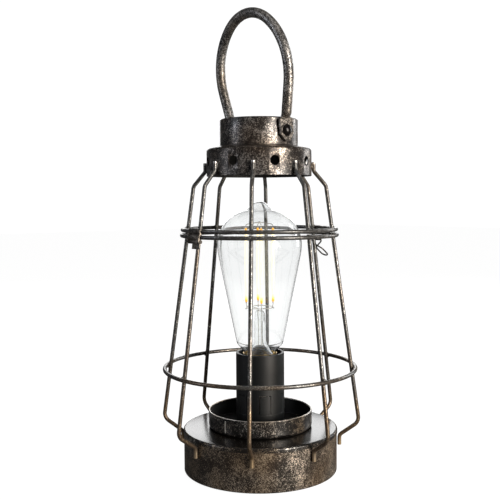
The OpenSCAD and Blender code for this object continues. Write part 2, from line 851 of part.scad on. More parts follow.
module hinge_lower_leaf() {
    lap = 0.35;                         // how deep the leaf runs into the barrel's wall
    color("#4a443d")
        on_wire(180) strip(lower_leaf_w)
            difference() {
                union() {
                    barrel_round();
                    translate([face_across, barrel_along - leaf_drop])
                        square([leaf_t, leaf_drop]);
                    translate([face_across, barrel_along - barrel_r])
                        square([barrel_across - face_across, barrel_r - hinge_pin_d / 2 - lap / 2]);
                }
                barrel_bore();
            }
}

// Side outline of the upper leaf: it follows the outsides of both rings, with a crease between
module leaf_wrap() {
    joint_wrap_r = leaf_out - ring_across;
    lid_wrap_r = wire_r + weld_gap + leaf_t;
    difference() {
        union() {
            translate([ring_across, joint_ring_along]) circle(r = joint_wrap_r);
            translate([ring_across, lid_ring_along]) circle(r = lid_wrap_r);
        }
        translate([ring_across, joint_ring_along]) circle(r = joint_wrap_r - leaf_t);
        translate([ring_across, lid_ring_along]) circle(r = wire_r + weld_gap);
        translate([ring_across - 2 * barrel_reach, barrel_along - barrel_r])
            square([2 * barrel_reach, 4 * barrel_reach]);
    }
}

module hinge_upper_leaf() {
    color("#4a443d")
        on_wire(180) difference() {
            union() {
                strip(hinge_w) leaf_wrap();
                for (s = [-1, 1])
                    strip(side_knuckle_w, s * (hinge_w - side_knuckle_w) / 2) {
                        barrel_round();
                        translate([leaf_out - leaf_t, barrel_along])
                            square([leaf_t, joint_ring_along - barrel_along]);
                    }
            }
            strip(hinge_w + 2) barrel_bore();
            // room for the lower leaf's knuckle
            translate([0, 0, barrel_along]) rotate([90, 0, 0])
                translate([barrel_across, 0, 0])
                    cylinder(h = lower_leaf_w + 2 * knuckle_gap, r = barrel_r + moving_gap, center = true);
        }
}

module hinge_pin() {
    head_t = 0.7;
    head_gap = 0.1;
    color("#8b8880")
        on_wire(180) translate([barrel_across, 0, barrel_along]) rotate([90, 0, 0]) {
            cylinder(h = hinge_w + 2 * head_gap, d = hinge_pin_d, center = true);
            for (s = [-1, 1])
                translate([0, 0, s * (hinge_w / 2 + head_gap + head_t / 2)])
                    cylinder(h = head_t, d = hinge_pin_d + 0.8, center = true);
        }
}

// ---- latch ----

module latch_bracket() {
    color("#4a443d")
        on_wire(0) strip(latch_w)
            difference() {
                union() {
                    translate([eye_across, eye_along]) circle(r = eye_r);
                    translate([face_across, eye_along])
                        square([latch_t, joint_ring_along - wire_r - 0.1 - eye_along]);
                }
                translate([eye_across, eye_along]) circle(d = bail_d + 2 * pin_clear);
            }
}

// One wire: a straight bar in the bracket's eye, two legs that meet and a finger loop
module latch_bail() {
    neck = 0.75;
    arm = loop_l - loop_half_w - bail_d / 2;
    out = [sin(loop_slope), 0, -cos(loop_slope)];
    side = [0, 1, 0];
    root = [0, 0, -bail_leg];
    half = concat(
        [[0, bail_half_w, 0], [0, bail_half_w, -eye_r - 0.9], root + neck * side + [0, 0, 0.9]],
        [root + neck * side + 0.3 * out],
        [root + (neck + loop_half_w) / 2 * side + 1.6 * out, root + loop_half_w * side + 3.6 * out],
        [for (a = [0:22.5:67.5])
            root + (arm + loop_half_w * sin(a)) * out + loop_half_w * cos(a) * side]
    );
    tip = [root + (arm + loop_half_w) * out];
    n = len(half);
    back = [for (i = [n - 1:-1:0]) [half[i][0], -half[i][1], half[i][2]]];
    color("#55504a")
        on_wire(0) translate([eye_across, 0, eye_along]) {
            rotate([90, 0, 0]) cylinder(h = 2 * bail_half_w, d = bail_d, center = true);
            swept_tube(concat(half, tip, back), bail_d / 2, 10);
        }
}

module latch_keeper() {
    keeper_in = ring_across + wire_r + weld_gap;
    tongue_along = joint_ring_along + wire_r + 0.85;
    keeper_w = 6;
    tongue_half = 1.3;
    lip = 0.8;
    color("#4a443d")
        on_wire(0) {
            strip(keeper_w) translate([keeper_in, tongue_along])
                square([leaf_t, lid_ring_along + 1.4 - tongue_along]);
            strip(2 * tongue_half) {
                translate([keeper_in, tongue_along]) square([keeper_reach, leaf_t]);
                translate([keeper_in + keeper_reach - lip, tongue_along])
                    square([lip, leaf_t + lip]);
            }
        }
}

// ---- collar and cap ----

module vent_collar() {
    edge_r = 2;
    in_r = collar_r - collar_t;
    edge = [collar_r - edge_r, collar_top_z - edge_r];
    color("#5d5044")
        difference() {
            rotate_extrude()
                polygon(concat(
                    [[in_r, collar_z], [collar_r, collar_z]],
                    arc(edge, edge_r, 0, 80, 6),
                    [
                        [cap_r, collar_top_z + shoulder_rise],
                        [throat_d / 2, collar_top_z + shoulder_rise],
                        [throat_d / 2, collar_top_z + shoulder_rise - collar_t],
                        [cap_r - 0.1, collar_top_z + shoulder_rise - collar_t]
                    ],
                    arc(edge, edge_r - collar_t, 80, 0, 6)
                ));
            for (k = [0:vent_n - 1])
                rotate([0, 0, 180 / vent_n + 360 * k / vent_n])
                    translate([collar_r - 8, 0, collar_z + vent_up]) rotate([0, 90, 0])
                        cylinder(h = 16, d = vent_d);
        }
}

module top_cap() {
    edge_r = 0.8;
    color("#574a3f")
        difference() {
            rotate_extrude()
                polygon(concat(
                    [[cap_r - collar_t, cap_z], [cap_r, cap_z]],
                    arc([cap_r - edge_r, cap_top_z - edge_r], edge_r, 0, 90, 4),
                    [[0, cap_top_z], [0, cap_top_z - collar_t],
                        [cap_r - collar_t, cap_top_z - collar_t]]
                ));
            translate([0, 0, pivot_z]) rotate([90, 0, 0])
                cylinder(h = cap_d + 2, d = pivot_d + 2 * pin_clear, center = true);
        }
}

// ---- handle ----

// Places a piece at each end of the handle's pivot, +Z pointing outwards along it
module at_pivots() {
    for (s = [0, 180]) translate([0, 0, pivot_z]) rotate([0, 0, s]) rotate([-90, 0, 0]) children();
}

module pivot_screws() {
    in_y = cap_r - collar_t - pivot_nut_t - 2;
    dome_r = (pow(pivot_head_d / 2, 2) + pow(pivot_head_h, 2)) / (2 * pivot_head_h);
    color("#4d4741")
        at_pivots() {
            translate([0, 0, in_y]) cylinder(h = head_y - in_y + 0.5, d = pivot_d);
            intersection() {
                translate([0, 0, head_y + pivot_head_h - dome_r]) sphere(r = dome_r);
                translate([0, 0, head_y]) cylinder(h = 20, d = pivot_head_d + 2);
            }
        }
}

module pivot_nuts() {
    nut_in_r = 4;
    seat_y = sqrt(pow(cap_r - collar_t, 2) - pow(nut_in_r, 2));
    color("#8d8d88")
        at_pivots() translate([0, 0, seat_y - hair - pivot_nut_t]) difference() {
            cylinder(h = pivot_nut_t, r = nut_in_r, $fn = 6);
            translate([0, 0, -1]) cylinder(h = pivot_nut_t + 2, r = pivot_d / 2 + hair);
        }
}

module pivot_washers() {
    color("#55504a")
        at_pivots() translate([0, 0, washer_y]) difference() {
            cylinder(h = washer_t, d = 9);
            translate([0, 0, -1]) cylinder(h = washer_t + 2, r = pivot_d / 2 + pin_clear);
        }
}

// The crown, in the plane of Y and the height over the pivot
module handle_crown() {
    lap = 0.4;
    translate([0, crown_up, 0]) rotate([0, 0, crown_turn - lap])
        rotate_extrude(angle = 180 - 2 * (crown_turn - lap))
            translate([handle_crown_r, 0]) circle(d = handle_d);
}

// One side and leg of the handle
module handle_side() {
    translate([handle_half_w - handle_side_r, handle_wide_up, 0]) rotate([0, 0, -leg_splay])
        rotate_extrude(angle = leg_splay + crown_turn)
            translate([handle_side_r, 0]) circle(d = handle_d - bend_thin);
    rod(leg_foot, leg_top + heading(leg_foot, leg_top) * bend_lap, handle_d);
}

module handle_tab() {
    press_sides = 32;
    press_d = (handle_d + 0.1) / cos(180 / press_sides);
    // the leg's round end drawn flat
    hull() {
        rod(leg_foot, leg_foot + heading(leg_foot, leg_top), press_d, $fn = press_sides);
        translate([tab_y - tab_t / 2 + hair, tab_up - 1.5, -tab_w / 2 + hair])
            cube([tab_t - 2 * hair, 1, tab_w - 2 * hair]);
    }
    translate([tab_y - tab_t / 2, 0, 0]) rotate([0, 90, 0])
        linear_extrude(tab_t) difference() {
            polygon([
                [-tab_w / 2, tab_up], [-tab_w / 2, tab_chamfer - tab_down],
                [0.8 * tab_chamfer - tab_w / 2, -tab_down],
                [tab_w / 2 - 0.8 * tab_chamfer, -tab_down],
                [tab_w / 2, tab_chamfer - tab_down], [tab_w / 2, tab_up]
            ]);
            circle(d = pivot_d + 2 * pin_clear);
        }
}

module carry_handle() {
    color("#3a3532")
        translate([0, 0, pivot_z]) rotate([0, -handle_lean, 0]) rotate([90, 0, 90]) {
            union() {
                handle_crown();
                for (m = [0, 1]) mirror([m, 0, 0]) {
                    handle_side();
                    handle_tab();
                }
            }
        }
}

// ---- bulb ----

// Outline of the glass on one side, drawn in by the given depth
function glass_side(inset) =
    let (
        r = bulb_d / 2 - inset,
        dome_in = 5,
        dome_r = r - dome_in,
        tip_r = 9.5 - inset,
        tip_z = bulb_tip_z - 9.5,
        meet = acos(6.4 / tip_r),
        belly_r = 40 - inset,
        taper = 11.3,
        neck_r = thread_r - 0.7 - inset,
        neck_z = bulb_cap_top_z + 1,
        belly_end = [
            r - belly_r * (1 - cos(taper)), belly_z - belly_r * sin(taper)
        ],
        shoulder_z = neck_z + 6
    )
    concat(
        [[neck_r, bulb_cap_top_z - 6], [neck_r, neck_z]],
        [[belly_end[0] - (belly_end[1] - shoulder_z) * tan(taper), shoulder_z]],
        arc([r - belly_r, belly_z], belly_r, -taper, 0, 3),
        arc([dome_in, belly_z], dome_r, 6, 78, 10),
        arc([0, tip_z], tip_r, meet, 84, 5)
    );

module bulb_glass() {
    outer = glass_side(0);
    inner = glass_side(glass_t);
    n = len(inner);
    color("#dfe6e8", 0.3)
        rotate_extrude()
            polygon(concat(
                outer, [[0, bulb_tip_z], [0, bulb_tip_z - glass_t]],
                [for (i = [n - 1:-1:0]) inner[i]]
            ));
}

module bulb_cap() {
    color("#c9a24b")
        difference() {
            translate([0, 0, bulb_cap_z]) cylinder(h = cap_thread_h, r = thread_r);
            translate([0, 0, bulb_cap_z + 0.4])
                cylinder(h = cap_thread_h, r = thread_r - 0.4);
            translate([0, 0, bulb_cap_z - 1]) cylinder(h = 3, r = 9);
        }
}

// Insulator and centre contact under the brass cap
module bulb_tip() {
    color("#151515") {
        translate([0, 0, bulb_cap_z - insulator_h])
            cylinder(h = insulator_h - hair, r1 = 6.5, r2 = thread_r - 1.2);
        translate([0, 0, bulb_foot_z]) cylinder(h = contact_h + 0.5, r = 4.6);
    }
}

module bulb_stem() {
    stem_r = stem_d / 2;
    foot = thread_r - 0.7 - glass_t - hair;
    z = bulb_cap_top_z - 4;
    top = bulb_cap_top_z + stem_h;
    color("#dfe6e8", 0.3)
        rotate_extrude()
            polygon([
                [foot - 0.8, z], [foot, z], [foot - 1, z + 3], [stem_r + 1, z + 9],
                [stem_r, z + 15], [stem_r, top - 3], [stem_r - 1.6, top], [0, top], [0, top - 3],
                [stem_r - 0.8, top - 4], [stem_r - 0.8, z + 15], [stem_r + 0.2, z + 9],
                [foot - 1.8, z + 3]
            ]);
}

filament_z = bulb_cap_top_z + stem_h + 5.4;

module bulb_filaments() {
    color("#f2b43c")
        for (a = [0:90:270]) rotate([0, 0, filament_at + a])
            translate([filament_r, 0, filament_z]) cylinder(h = filament_l, d = filament_d);
}

// Wire ring and risers below the sticks, and a small star of wires over them
module bulb_supports() {
    support_d = 0.7;
    post_d = 0.6;
    ring_z = filament_z - 3;
    top_z = filament_z + filament_l;
    hub_z = top_z + 3.5;
    hub_r = 0.9;
    stem_top = bulb_cap_top_z + stem_h;
    color("#9a958c") {
        union() {
            translate([0, 0, ring_z]) rotate_extrude()
                translate([filament_r, 0]) circle(d = support_d);
            for (a = [0:90:270]) rotate([0, 0, filament_at + a])
                translate([filament_r, 0, ring_z]) cylinder(h = 3 - hair, d = post_d);
            for (a = [45, 225]) rotate([0, 0, filament_at + a])
                upright(0) rod([1.5, stem_top + 0.3], [filament_r, ring_z], post_d);
        }
        union() {
            translate([0, 0, hub_z - 1]) cylinder(h = 1.6, r = hub_r);
            for (a = [0:90:270]) rotate([0, 0, filament_at + a]) {
                translate([filament_r, 0, top_z + hair]) cylinder(h = 0.9, d = post_d);
                upright(0) rod([filament_r + 0.1, top_z + 0.7], [0.55, hub_z - 0.2], support_d);
            }
        }
    }
}

// ---- the nodes ----

base_drum();
base_top();
base_lugs();
base_screws();
base_feet();
battery_tray();
battery_cells();
battery_contacts();
battery_springs();
battery_door();
switch_body();
switch_knob();
supply_leads();
gallery_dish();
threaded_nipple();
nipple_nuts();
holder_base();
holder_skirt();
holder_core();
holder_screw_shell();
holder_contact();
low_ring();
joint_ring();
hinge_lower_leaf();
hinge_pin();
latch_bracket();
latch_bail();
lower_wire(1);  // lower_wire_1
lower_wire(2);  // lower_wire_2
lower_wire(3);  // lower_wire_3
lower_wire(4);  // lower_wire_4
lower_wire(5);  // lower_wire_5
lower_wire(6);  // lower_wire_6
lower_wire(7);  // lower_wire_7
lower_wire(8);  // lower_wire_8
lid_ring();
hinge_upper_leaf();
latch_keeper();
vent_collar();
top_cap();
lid_wire(1);  // lid_wire_1
lid_wire(2);  // lid_wire_2
lid_wire(3);  // lid_wire_3
lid_wire(4);  // lid_wire_4
lid_wire(5);  // lid_wire_5
lid_wire(6);  // lid_wire_6
lid_wire(7);  // lid_wire_7
lid_wire(8);  // lid_wire_8
pivot_screws();
pivot_nuts();
pivot_washers();
carry_handle();
bulb_glass();
bulb_cap();
bulb_tip();
bulb_stem();
bulb_filaments();
bulb_supports();
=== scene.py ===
from math import acos, atan2, cos, degrees, hypot, pi, radians, sin, tan

import bmesh
import bpy
from mathutils import Matrix, Vector


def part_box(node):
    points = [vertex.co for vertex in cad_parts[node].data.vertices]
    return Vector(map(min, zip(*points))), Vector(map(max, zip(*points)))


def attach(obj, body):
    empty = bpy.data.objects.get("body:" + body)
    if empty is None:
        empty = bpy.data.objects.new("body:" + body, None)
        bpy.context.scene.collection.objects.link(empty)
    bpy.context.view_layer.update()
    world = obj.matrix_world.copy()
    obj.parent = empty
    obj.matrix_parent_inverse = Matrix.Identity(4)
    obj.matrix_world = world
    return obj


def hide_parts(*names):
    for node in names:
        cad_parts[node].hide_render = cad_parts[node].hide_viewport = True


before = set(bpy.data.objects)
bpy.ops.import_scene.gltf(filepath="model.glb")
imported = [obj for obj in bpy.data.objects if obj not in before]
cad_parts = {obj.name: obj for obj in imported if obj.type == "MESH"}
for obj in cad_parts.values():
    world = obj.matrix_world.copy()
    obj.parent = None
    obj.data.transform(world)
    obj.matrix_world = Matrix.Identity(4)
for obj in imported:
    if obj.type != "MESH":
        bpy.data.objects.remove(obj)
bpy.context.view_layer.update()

# every size below is in mm and every angle in degrees, unless its comment says otherwise
mm = 0.001
print("stage: frame loaded")


def deselect():
    if bpy.context.object and bpy.context.object.mode != "OBJECT":
        bpy.ops.object.mode_set(mode="OBJECT")
    bpy.ops.object.select_all(action="DESELECT")


def activate(piece):
    deselect()
    piece.select_set(True)
    bpy.context.view_layer.objects.active = piece


def openMesh(piece):
    activate(piece)
    bpy.ops.object.mode_set(mode="EDIT")
    bpy.ops.mesh.select_mode(type="VERT")
    bpy.ops.mesh.select_all(action="SELECT")


def closeMesh():
    bpy.ops.object.mode_set(mode="OBJECT")


def faceOutward():
    bpy.ops.mesh.select_all(action="SELECT")
    bpy.ops.mesh.normals_make_consistent(inside=False)
    closeMesh()


def settle(piece):
    # place, turn and size go into the mesh
    activate(piece)
    bpy.ops.object.transform_apply(location=True, rotation=True, scale=True)


def pickFaces(piece, test):
    # in edit mode: selects the faces whose middle (in mm) and normal pass the test
    bpy.ops.mesh.select_mode(type="FACE")
    bpy.ops.mesh.select_all(action="DESELECT")
    shape = bmesh.from_edit_mesh(piece.data)
    for face in shape.faces:
        face.select_set(test(face.calc_center_median() / mm, face.normal))
    bmesh.update_edit_mesh(piece.data)


def pickEdges(piece, test):
    # in edit mode: selects the edges whose two ends (in mm) pass the test
    bpy.ops.mesh.select_mode(type="EDGE")
    bpy.ops.mesh.select_all(action="DESELECT")
    shape = bmesh.from_edit_mesh(piece.data)
    for edge in shape.edges:
        edge.select_set(test(edge.verts[0].co / mm, edge.verts[1].co / mm))
    bmesh.update_edit_mesh(piece.data)


def pickPoints(piece, test):
    # in edit mode: selects the vertices whose place (in mm) passes the test
    bpy.ops.mesh.select_mode(type="VERT")
    bpy.ops.mesh.select_all(action="DESELECT")
    shape = bmesh.from_edit_mesh(piece.data)
    for point in shape.verts:
        point.select_set(test(point.co / mm))
    shape.select_flush_mode()
    bmesh.update_edit_mesh(piece.data)


def useModifier(piece, kind, **settings):
    activate(piece)
    modifier = piece.modifiers.new(kind.lower(), kind)
    for key, value in settings.items():
        setattr(modifier, key, value)
    bpy.ops.object.modifier_apply(modifier=modifier.name)


def turned(name, outline, sides=96, closed=False):
    # a circle at the outline's first point (radius, height in mm), drawn up ring by ring
    deselect()
    radius, height = outline[0]
    bpy.ops.mesh.primitive_circle_add(
        vertices=sides, radius=radius * mm, location=(0, 0, height * mm))
    piece = bpy.context.object
    piece.name = name
    settle(piece)
    openMesh(piece)
    for nextRadius, nextHeight in outline[1:]:
        bpy.ops.mesh.extrude_region_move(
            TRANSFORM_OT_translate={"value": (0, 0, (nextHeight - height) * mm)})
        if nextRadius < 0.001:
            bpy.ops.mesh.merge(type="CENTER")
            break
        scale = nextRadius / radius
        bpy.ops.transform.resize(value=(scale, scale, 1), center_override=(0, 0, 0))
        radius, height = nextRadius, nextHeight
    bpy.ops.mesh.select_all(action="SELECT")
    if closed:
        bpy.ops.mesh.remove_doubles(threshold=0.0001 * mm)
    faceOutward()
    return piece


def drawLine(points, closed=False):
    # a curve through points in mm
    deselect()
    bpy.ops.curve.primitive_nurbs_path_add(location=(0, 0, 0))
    path = bpy.context.object
    path.data.splines.clear()
    line = path.data.splines.new("POLY")
    line.points.add(len(points) - 1)
    for point, place in zip(line.points, points):
        point.co = (*(c * mm for c in place), 1)
    line.use_cyclic_u = closed
    line.use_smooth = True
    return path


def wireAlong(name, points, thickness, closed=False, facets=6):
    # a smooth wire, drawn as a curve and made a mesh
    path = drawLine(points, closed)
    path.data.bevel_depth = thickness / 2 * mm
    path.data.bevel_resolution = facets
    path.data.use_fill_caps = True
    activate(path)
    bpy.ops.object.convert(target="MESH")
    piece = bpy.context.object
    piece.name = name
    openMesh(piece)
    bpy.ops.mesh.remove_doubles(threshold=0.001 * mm)
    faceOutward()
    return piece


def thicken(piece, wall, even=True):
    # the piece's surface is the outside of the sheet
    useModifier(piece, "SOLIDIFY", thickness=wall * mm, offset=-1, use_even_offset=even)


def joinPieces(name, pieces):
    deselect()
    for piece in pieces:
        piece.select_set(True)
    bpy.context.view_layer.objects.active = pieces[0]
    if len(pieces) > 1:
        bpy.ops.object.join()
    joined = bpy.context.object
    joined.name = name
    return joined


def copyPiece(piece, turn=0.0, move=(0, 0, 0)):
    # a copy with its own mesh, turned about the lamp's middle line, then moved (mm)
    twin = piece.copy()
    twin.data = piece.data.copy()
    bpy.context.scene.collection.objects.link(twin)
    twin.matrix_world = Matrix.Translation(Vector(move) * mm) @ Matrix.Rotation(
        radians(turn), 4, "Z") @ piece.matrix_world
    settle(twin)
    return twin


def repeatPiece(name, first, places):
    # copies of one piece at every (turn, move), joined under one name
    copies = [copyPiece(first, turn, move) for turn, move in places]
    bpy.data.objects.remove(first)
    return joinPieces(name, copies)


def smoothOver(points, rounds=2):
    # cuts the corners of a line of points, ends kept
    for _ in range(rounds):
        cut = [points[0]]
        for a, b in zip(points, points[1:]):
            cut.append(tuple(0.75 * p + 0.25 * q for p, q in zip(a, b)))
            cut.append(tuple(0.25 * p + 0.75 * q for p, q in zip(a, b)))
        points = cut + [points[-1]]
    return points


def arc(middle, radius, start, end, steps):
    # points of an arc in the plane, angles in degrees
    angles = [radians(start + (end - start) * i / steps) for i in range(steps + 1)]
    return [(middle[0] + radius * cos(a), middle[1] + radius * sin(a)) for a in angles]


def onCircle(radius, angle, height=0.0):
    # a place in mm, round the lamp's middle line
    return (radius * cos(radians(angle)), radius * sin(radians(angle)), height)


def offMiddle(*points):
    # how far the farthest of the points is from the lamp's middle line
    return max(hypot(point.x, point.y) for point in points)


def eased(value):
    # from 0 to 1 with a soft start and end
    t = min(1, max(0, value))
    return t * t * (3 - 2 * t)


def fillHole(piece, test):
    # closes the hole whose edges pass the test
    openMesh(piece)
    pickEdges(piece, test)
    bpy.ops.mesh.fill_holes(sides=60)
    faceOutward()


def coat(piece, *finishes):
    for finish in finishes:
        piece.data.materials.append(finish)


def paintFaces(piece, number, test):
    # the faces that pass the test get the piece's finish of that number
    openMesh(piece)
    pickFaces(piece, test)
    piece.active_material_index = number
    bpy.ops.object.material_slot_assign()
    closeMesh()


def addBox(size, place, turn):
    # a cutter, size and place in mm, then turned about the lamp's middle line
    deselect()
    bpy.ops.mesh.primitive_cube_add(size=1)
    box = bpy.context.object
    box.scale = [c * mm for c in size]
    box.location = [c * mm for c in place]
    settle(box)
    box.rotation_euler.z = radians(turn)
    settle(box)
    return box


def cutAway(piece, cutters):
    tool = joinPieces("cutter", cutters)
    useModifier(piece, "BOOLEAN", operation="DIFFERENCE", object=tool, solver="EXACT")
    bpy.data.objects.remove(tool)


def complete(piece, body, material, nodes=(), angle=30):
    # shading, finish, the body it rides on and the CAD nodes it stands for
    activate(piece)
    bpy.ops.object.shade_smooth_by_angle(angle=radians(angle))
    if material:
        coat(piece, material)
    settle(piece)
    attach(piece, body)
    if nodes:
        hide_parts(*nodes)


def fromHex(code):
    # sRGB hex to the linear colour the shaders want
    parts = [int(code[i:i + 2], 16) / 255 for i in (1, 3, 5)]
    return [c / 12.92 if c <= 0.04045 else ((c + 0.055) / 1.055) ** 2.4 for c in parts] + [1]


def feed(tree, node, inputs):
    # inputs are given by name or number, as a value or as another node's socket
    for key, value in inputs.items():
        if isinstance(value, bpy.types.NodeSocket):
            tree.links.new(value, node.inputs[key])
        else:
            node.inputs[key].default_value = value


def addNode(tree, kind, inputs=None, **settings):
    node = tree.nodes.new(kind)
    for key, value in settings.items():
        setattr(node, key, value)
    feed(tree, node, inputs or {})
    return node


def newMaterial(name, **shader):
    material = bpy.data.materials.new(name)
    material.use_nodes = True
    tree = material.node_tree
    surface = tree.nodes["Principled BSDF"]
    feed(tree, surface, shader)
    return material, tree, surface


def dress(node, material):
    # a CAD piece keeps its mesh and gets a finish
    piece = bpy.data.objects[node]
    for slot in piece.material_slots:
        slot.material = material
    if not piece.material_slots:
        coat(piece, material)


camera = {
    "azimuth": -39.1,      # degrees round the lamp from the front
    "distance": 617.5,     # mm from the lamp's middle line
    "height": 207.5,       # mm over the table
    "tilt": 3.57,          # degrees downwards
    "roll": -0.3,
    "focal": 58.57,        # mm on a 36 mm sensor
    "shiftRight": 9.5,     # px that the lamp's middle stands right of the picture's
    "frame": 500,          # px across the picture
}


def placeCamera():
    turn = radians(camera["azimuth"])
    bpy.ops.object.camera_add(location=(
        sin(turn) * camera["distance"] * mm,
        -cos(turn) * camera["distance"] * mm,
        camera["height"] * mm,
    ))
    eye = bpy.context.object
    eye.name = "photoCamera"
    aim = Matrix.Rotation(turn, 4, "Z") @ Matrix.Rotation(radians(90 - camera["tilt"]), 4, "X")
    aim = aim @ Matrix.Rotation(radians(camera["roll"]), 4, "Z")
    eye.rotation_euler = aim.to_euler()
    eye.data.lens = camera["focal"]
    eye.data.sensor_width = 36
    eye.data.shift_x = -camera["shiftRight"] / camera["frame"]
    eye.data.clip_start = 0.01
    bpy.context.scene.camera = eye


lightsAim = Vector((0, 0, 0.15))     # the lamp's middle, in m
# azimuth and elevation from there, distance and size in m, watts, colour
lights = {
    "keyRight": {"at": (3, 10), "far": 1.3, "size": (0.3, 0.9), "power": 20, "colour": "#fff6ec"},
    "lowRight": {"at": (13, 2), "far": 0.8, "size": (0.12, 0.14), "power": 3, "colour": "#fff3e4"},
    "backPanel": {"at": (141, 16), "far": 1.4, "size": (1.0, 0.42), "power": 5.2,
                  "colour": "#ffffff"},
    "rimRight": {"at": (88, 14), "far": 1.4, "size": (0.3, 0.9), "power": 5, "colour": "#ffffff"},
    "fillLeft": {"at": (-112, 18), "far": 1.5, "size": (0.3, 0.9), "power": 3.3,
                 "colour": "#eef3ff"},
    "top": {"at": (-40, 78), "far": 1.5, "size": (0.9, 0.9), "power": 1.8, "colour": "#ffffff"},
}


def placeLights():
    for name, light in lights.items():
        turn, rise = (radians(a) for a in light["at"])
        way = Vector((sin(turn) * cos(rise), -cos(turn) * cos(rise), sin(rise)))
        bpy.ops.object.light_add(type="AREA", location=lightsAim + way * light["far"])
        lamp = bpy.context.object
        lamp.name = name
        lamp.rotation_euler = (-way).to_track_quat("-Z", "Y").to_euler()
        lamp.data.shape = "RECTANGLE"
        lamp.data.size, lamp.data.size_y = light["size"]
        lamp.data.energy = light["power"]
        lamp.data.color = fromHex(light["colour"])[:3]
        lamp.visible_camera = False
        lamp.visible_transmission = False


# the studio is bright to the eye and dim in reflections, so the dark coat stays dark
backdrop = {"seen": 1.05, "reflected": 0.08}
tableLook = {"size": 9, "colour": "#5e5d5c", "glowSeen": 0.97, "glowReflected": 0.01}


def seenDirectly(tree, low, high):
    # one strength for the eye and through glass, another for reflections and stray light
    ray = addNode(tree, "ShaderNodeLightPath")
    straight = addNode(tree, "ShaderNodeMath", {
        0: ray.outputs["Is Camera Ray"], 1: ray.outputs["Is Transmission Ray"],
    }, operation="MAXIMUM")
    return addNode(tree, "ShaderNodeMapRange", {
        "Value": straight.outputs[0], "To Min": low, "To Max": high,
    }).outputs[0]


def placeTable():
    bpy.ops.mesh.primitive_plane_add(size=tableLook["size"])
    table = bpy.context.object
    table.name = "tableTop"
    material, tree, surface = newMaterial("pale table top", Roughness=0.9)
    feed(tree, surface, {
        "Base Color": fromHex(tableLook["colour"]), "Emission Color": (1, 1, 1, 1),
        "Emission Strength": seenDirectly(tree, tableLook["glowReflected"], tableLook["glowSeen"]),
    })
    coat(table, material)


def paintWorld():
    world = bpy.data.worlds.new("studio")
    world.use_nodes = True
    bpy.context.scene.world = world
    tree = world.node_tree
    tree.nodes.clear()
    glow = addNode(tree, "ShaderNodeBackground", {
        "Color": (1, 1, 1, 1),
        "Strength": seenDirectly(tree, backdrop["reflected"], backdrop["seen"]),
    })
    addNode(tree, "ShaderNodeOutputWorld", {"Surface": glow.outputs[0]})


deselect()
placeCamera()
placeLights()
placeTable()
paintWorld()
bpy.context.scene.view_settings.view_transform = "Standard"
print("stage: camera, light and table")


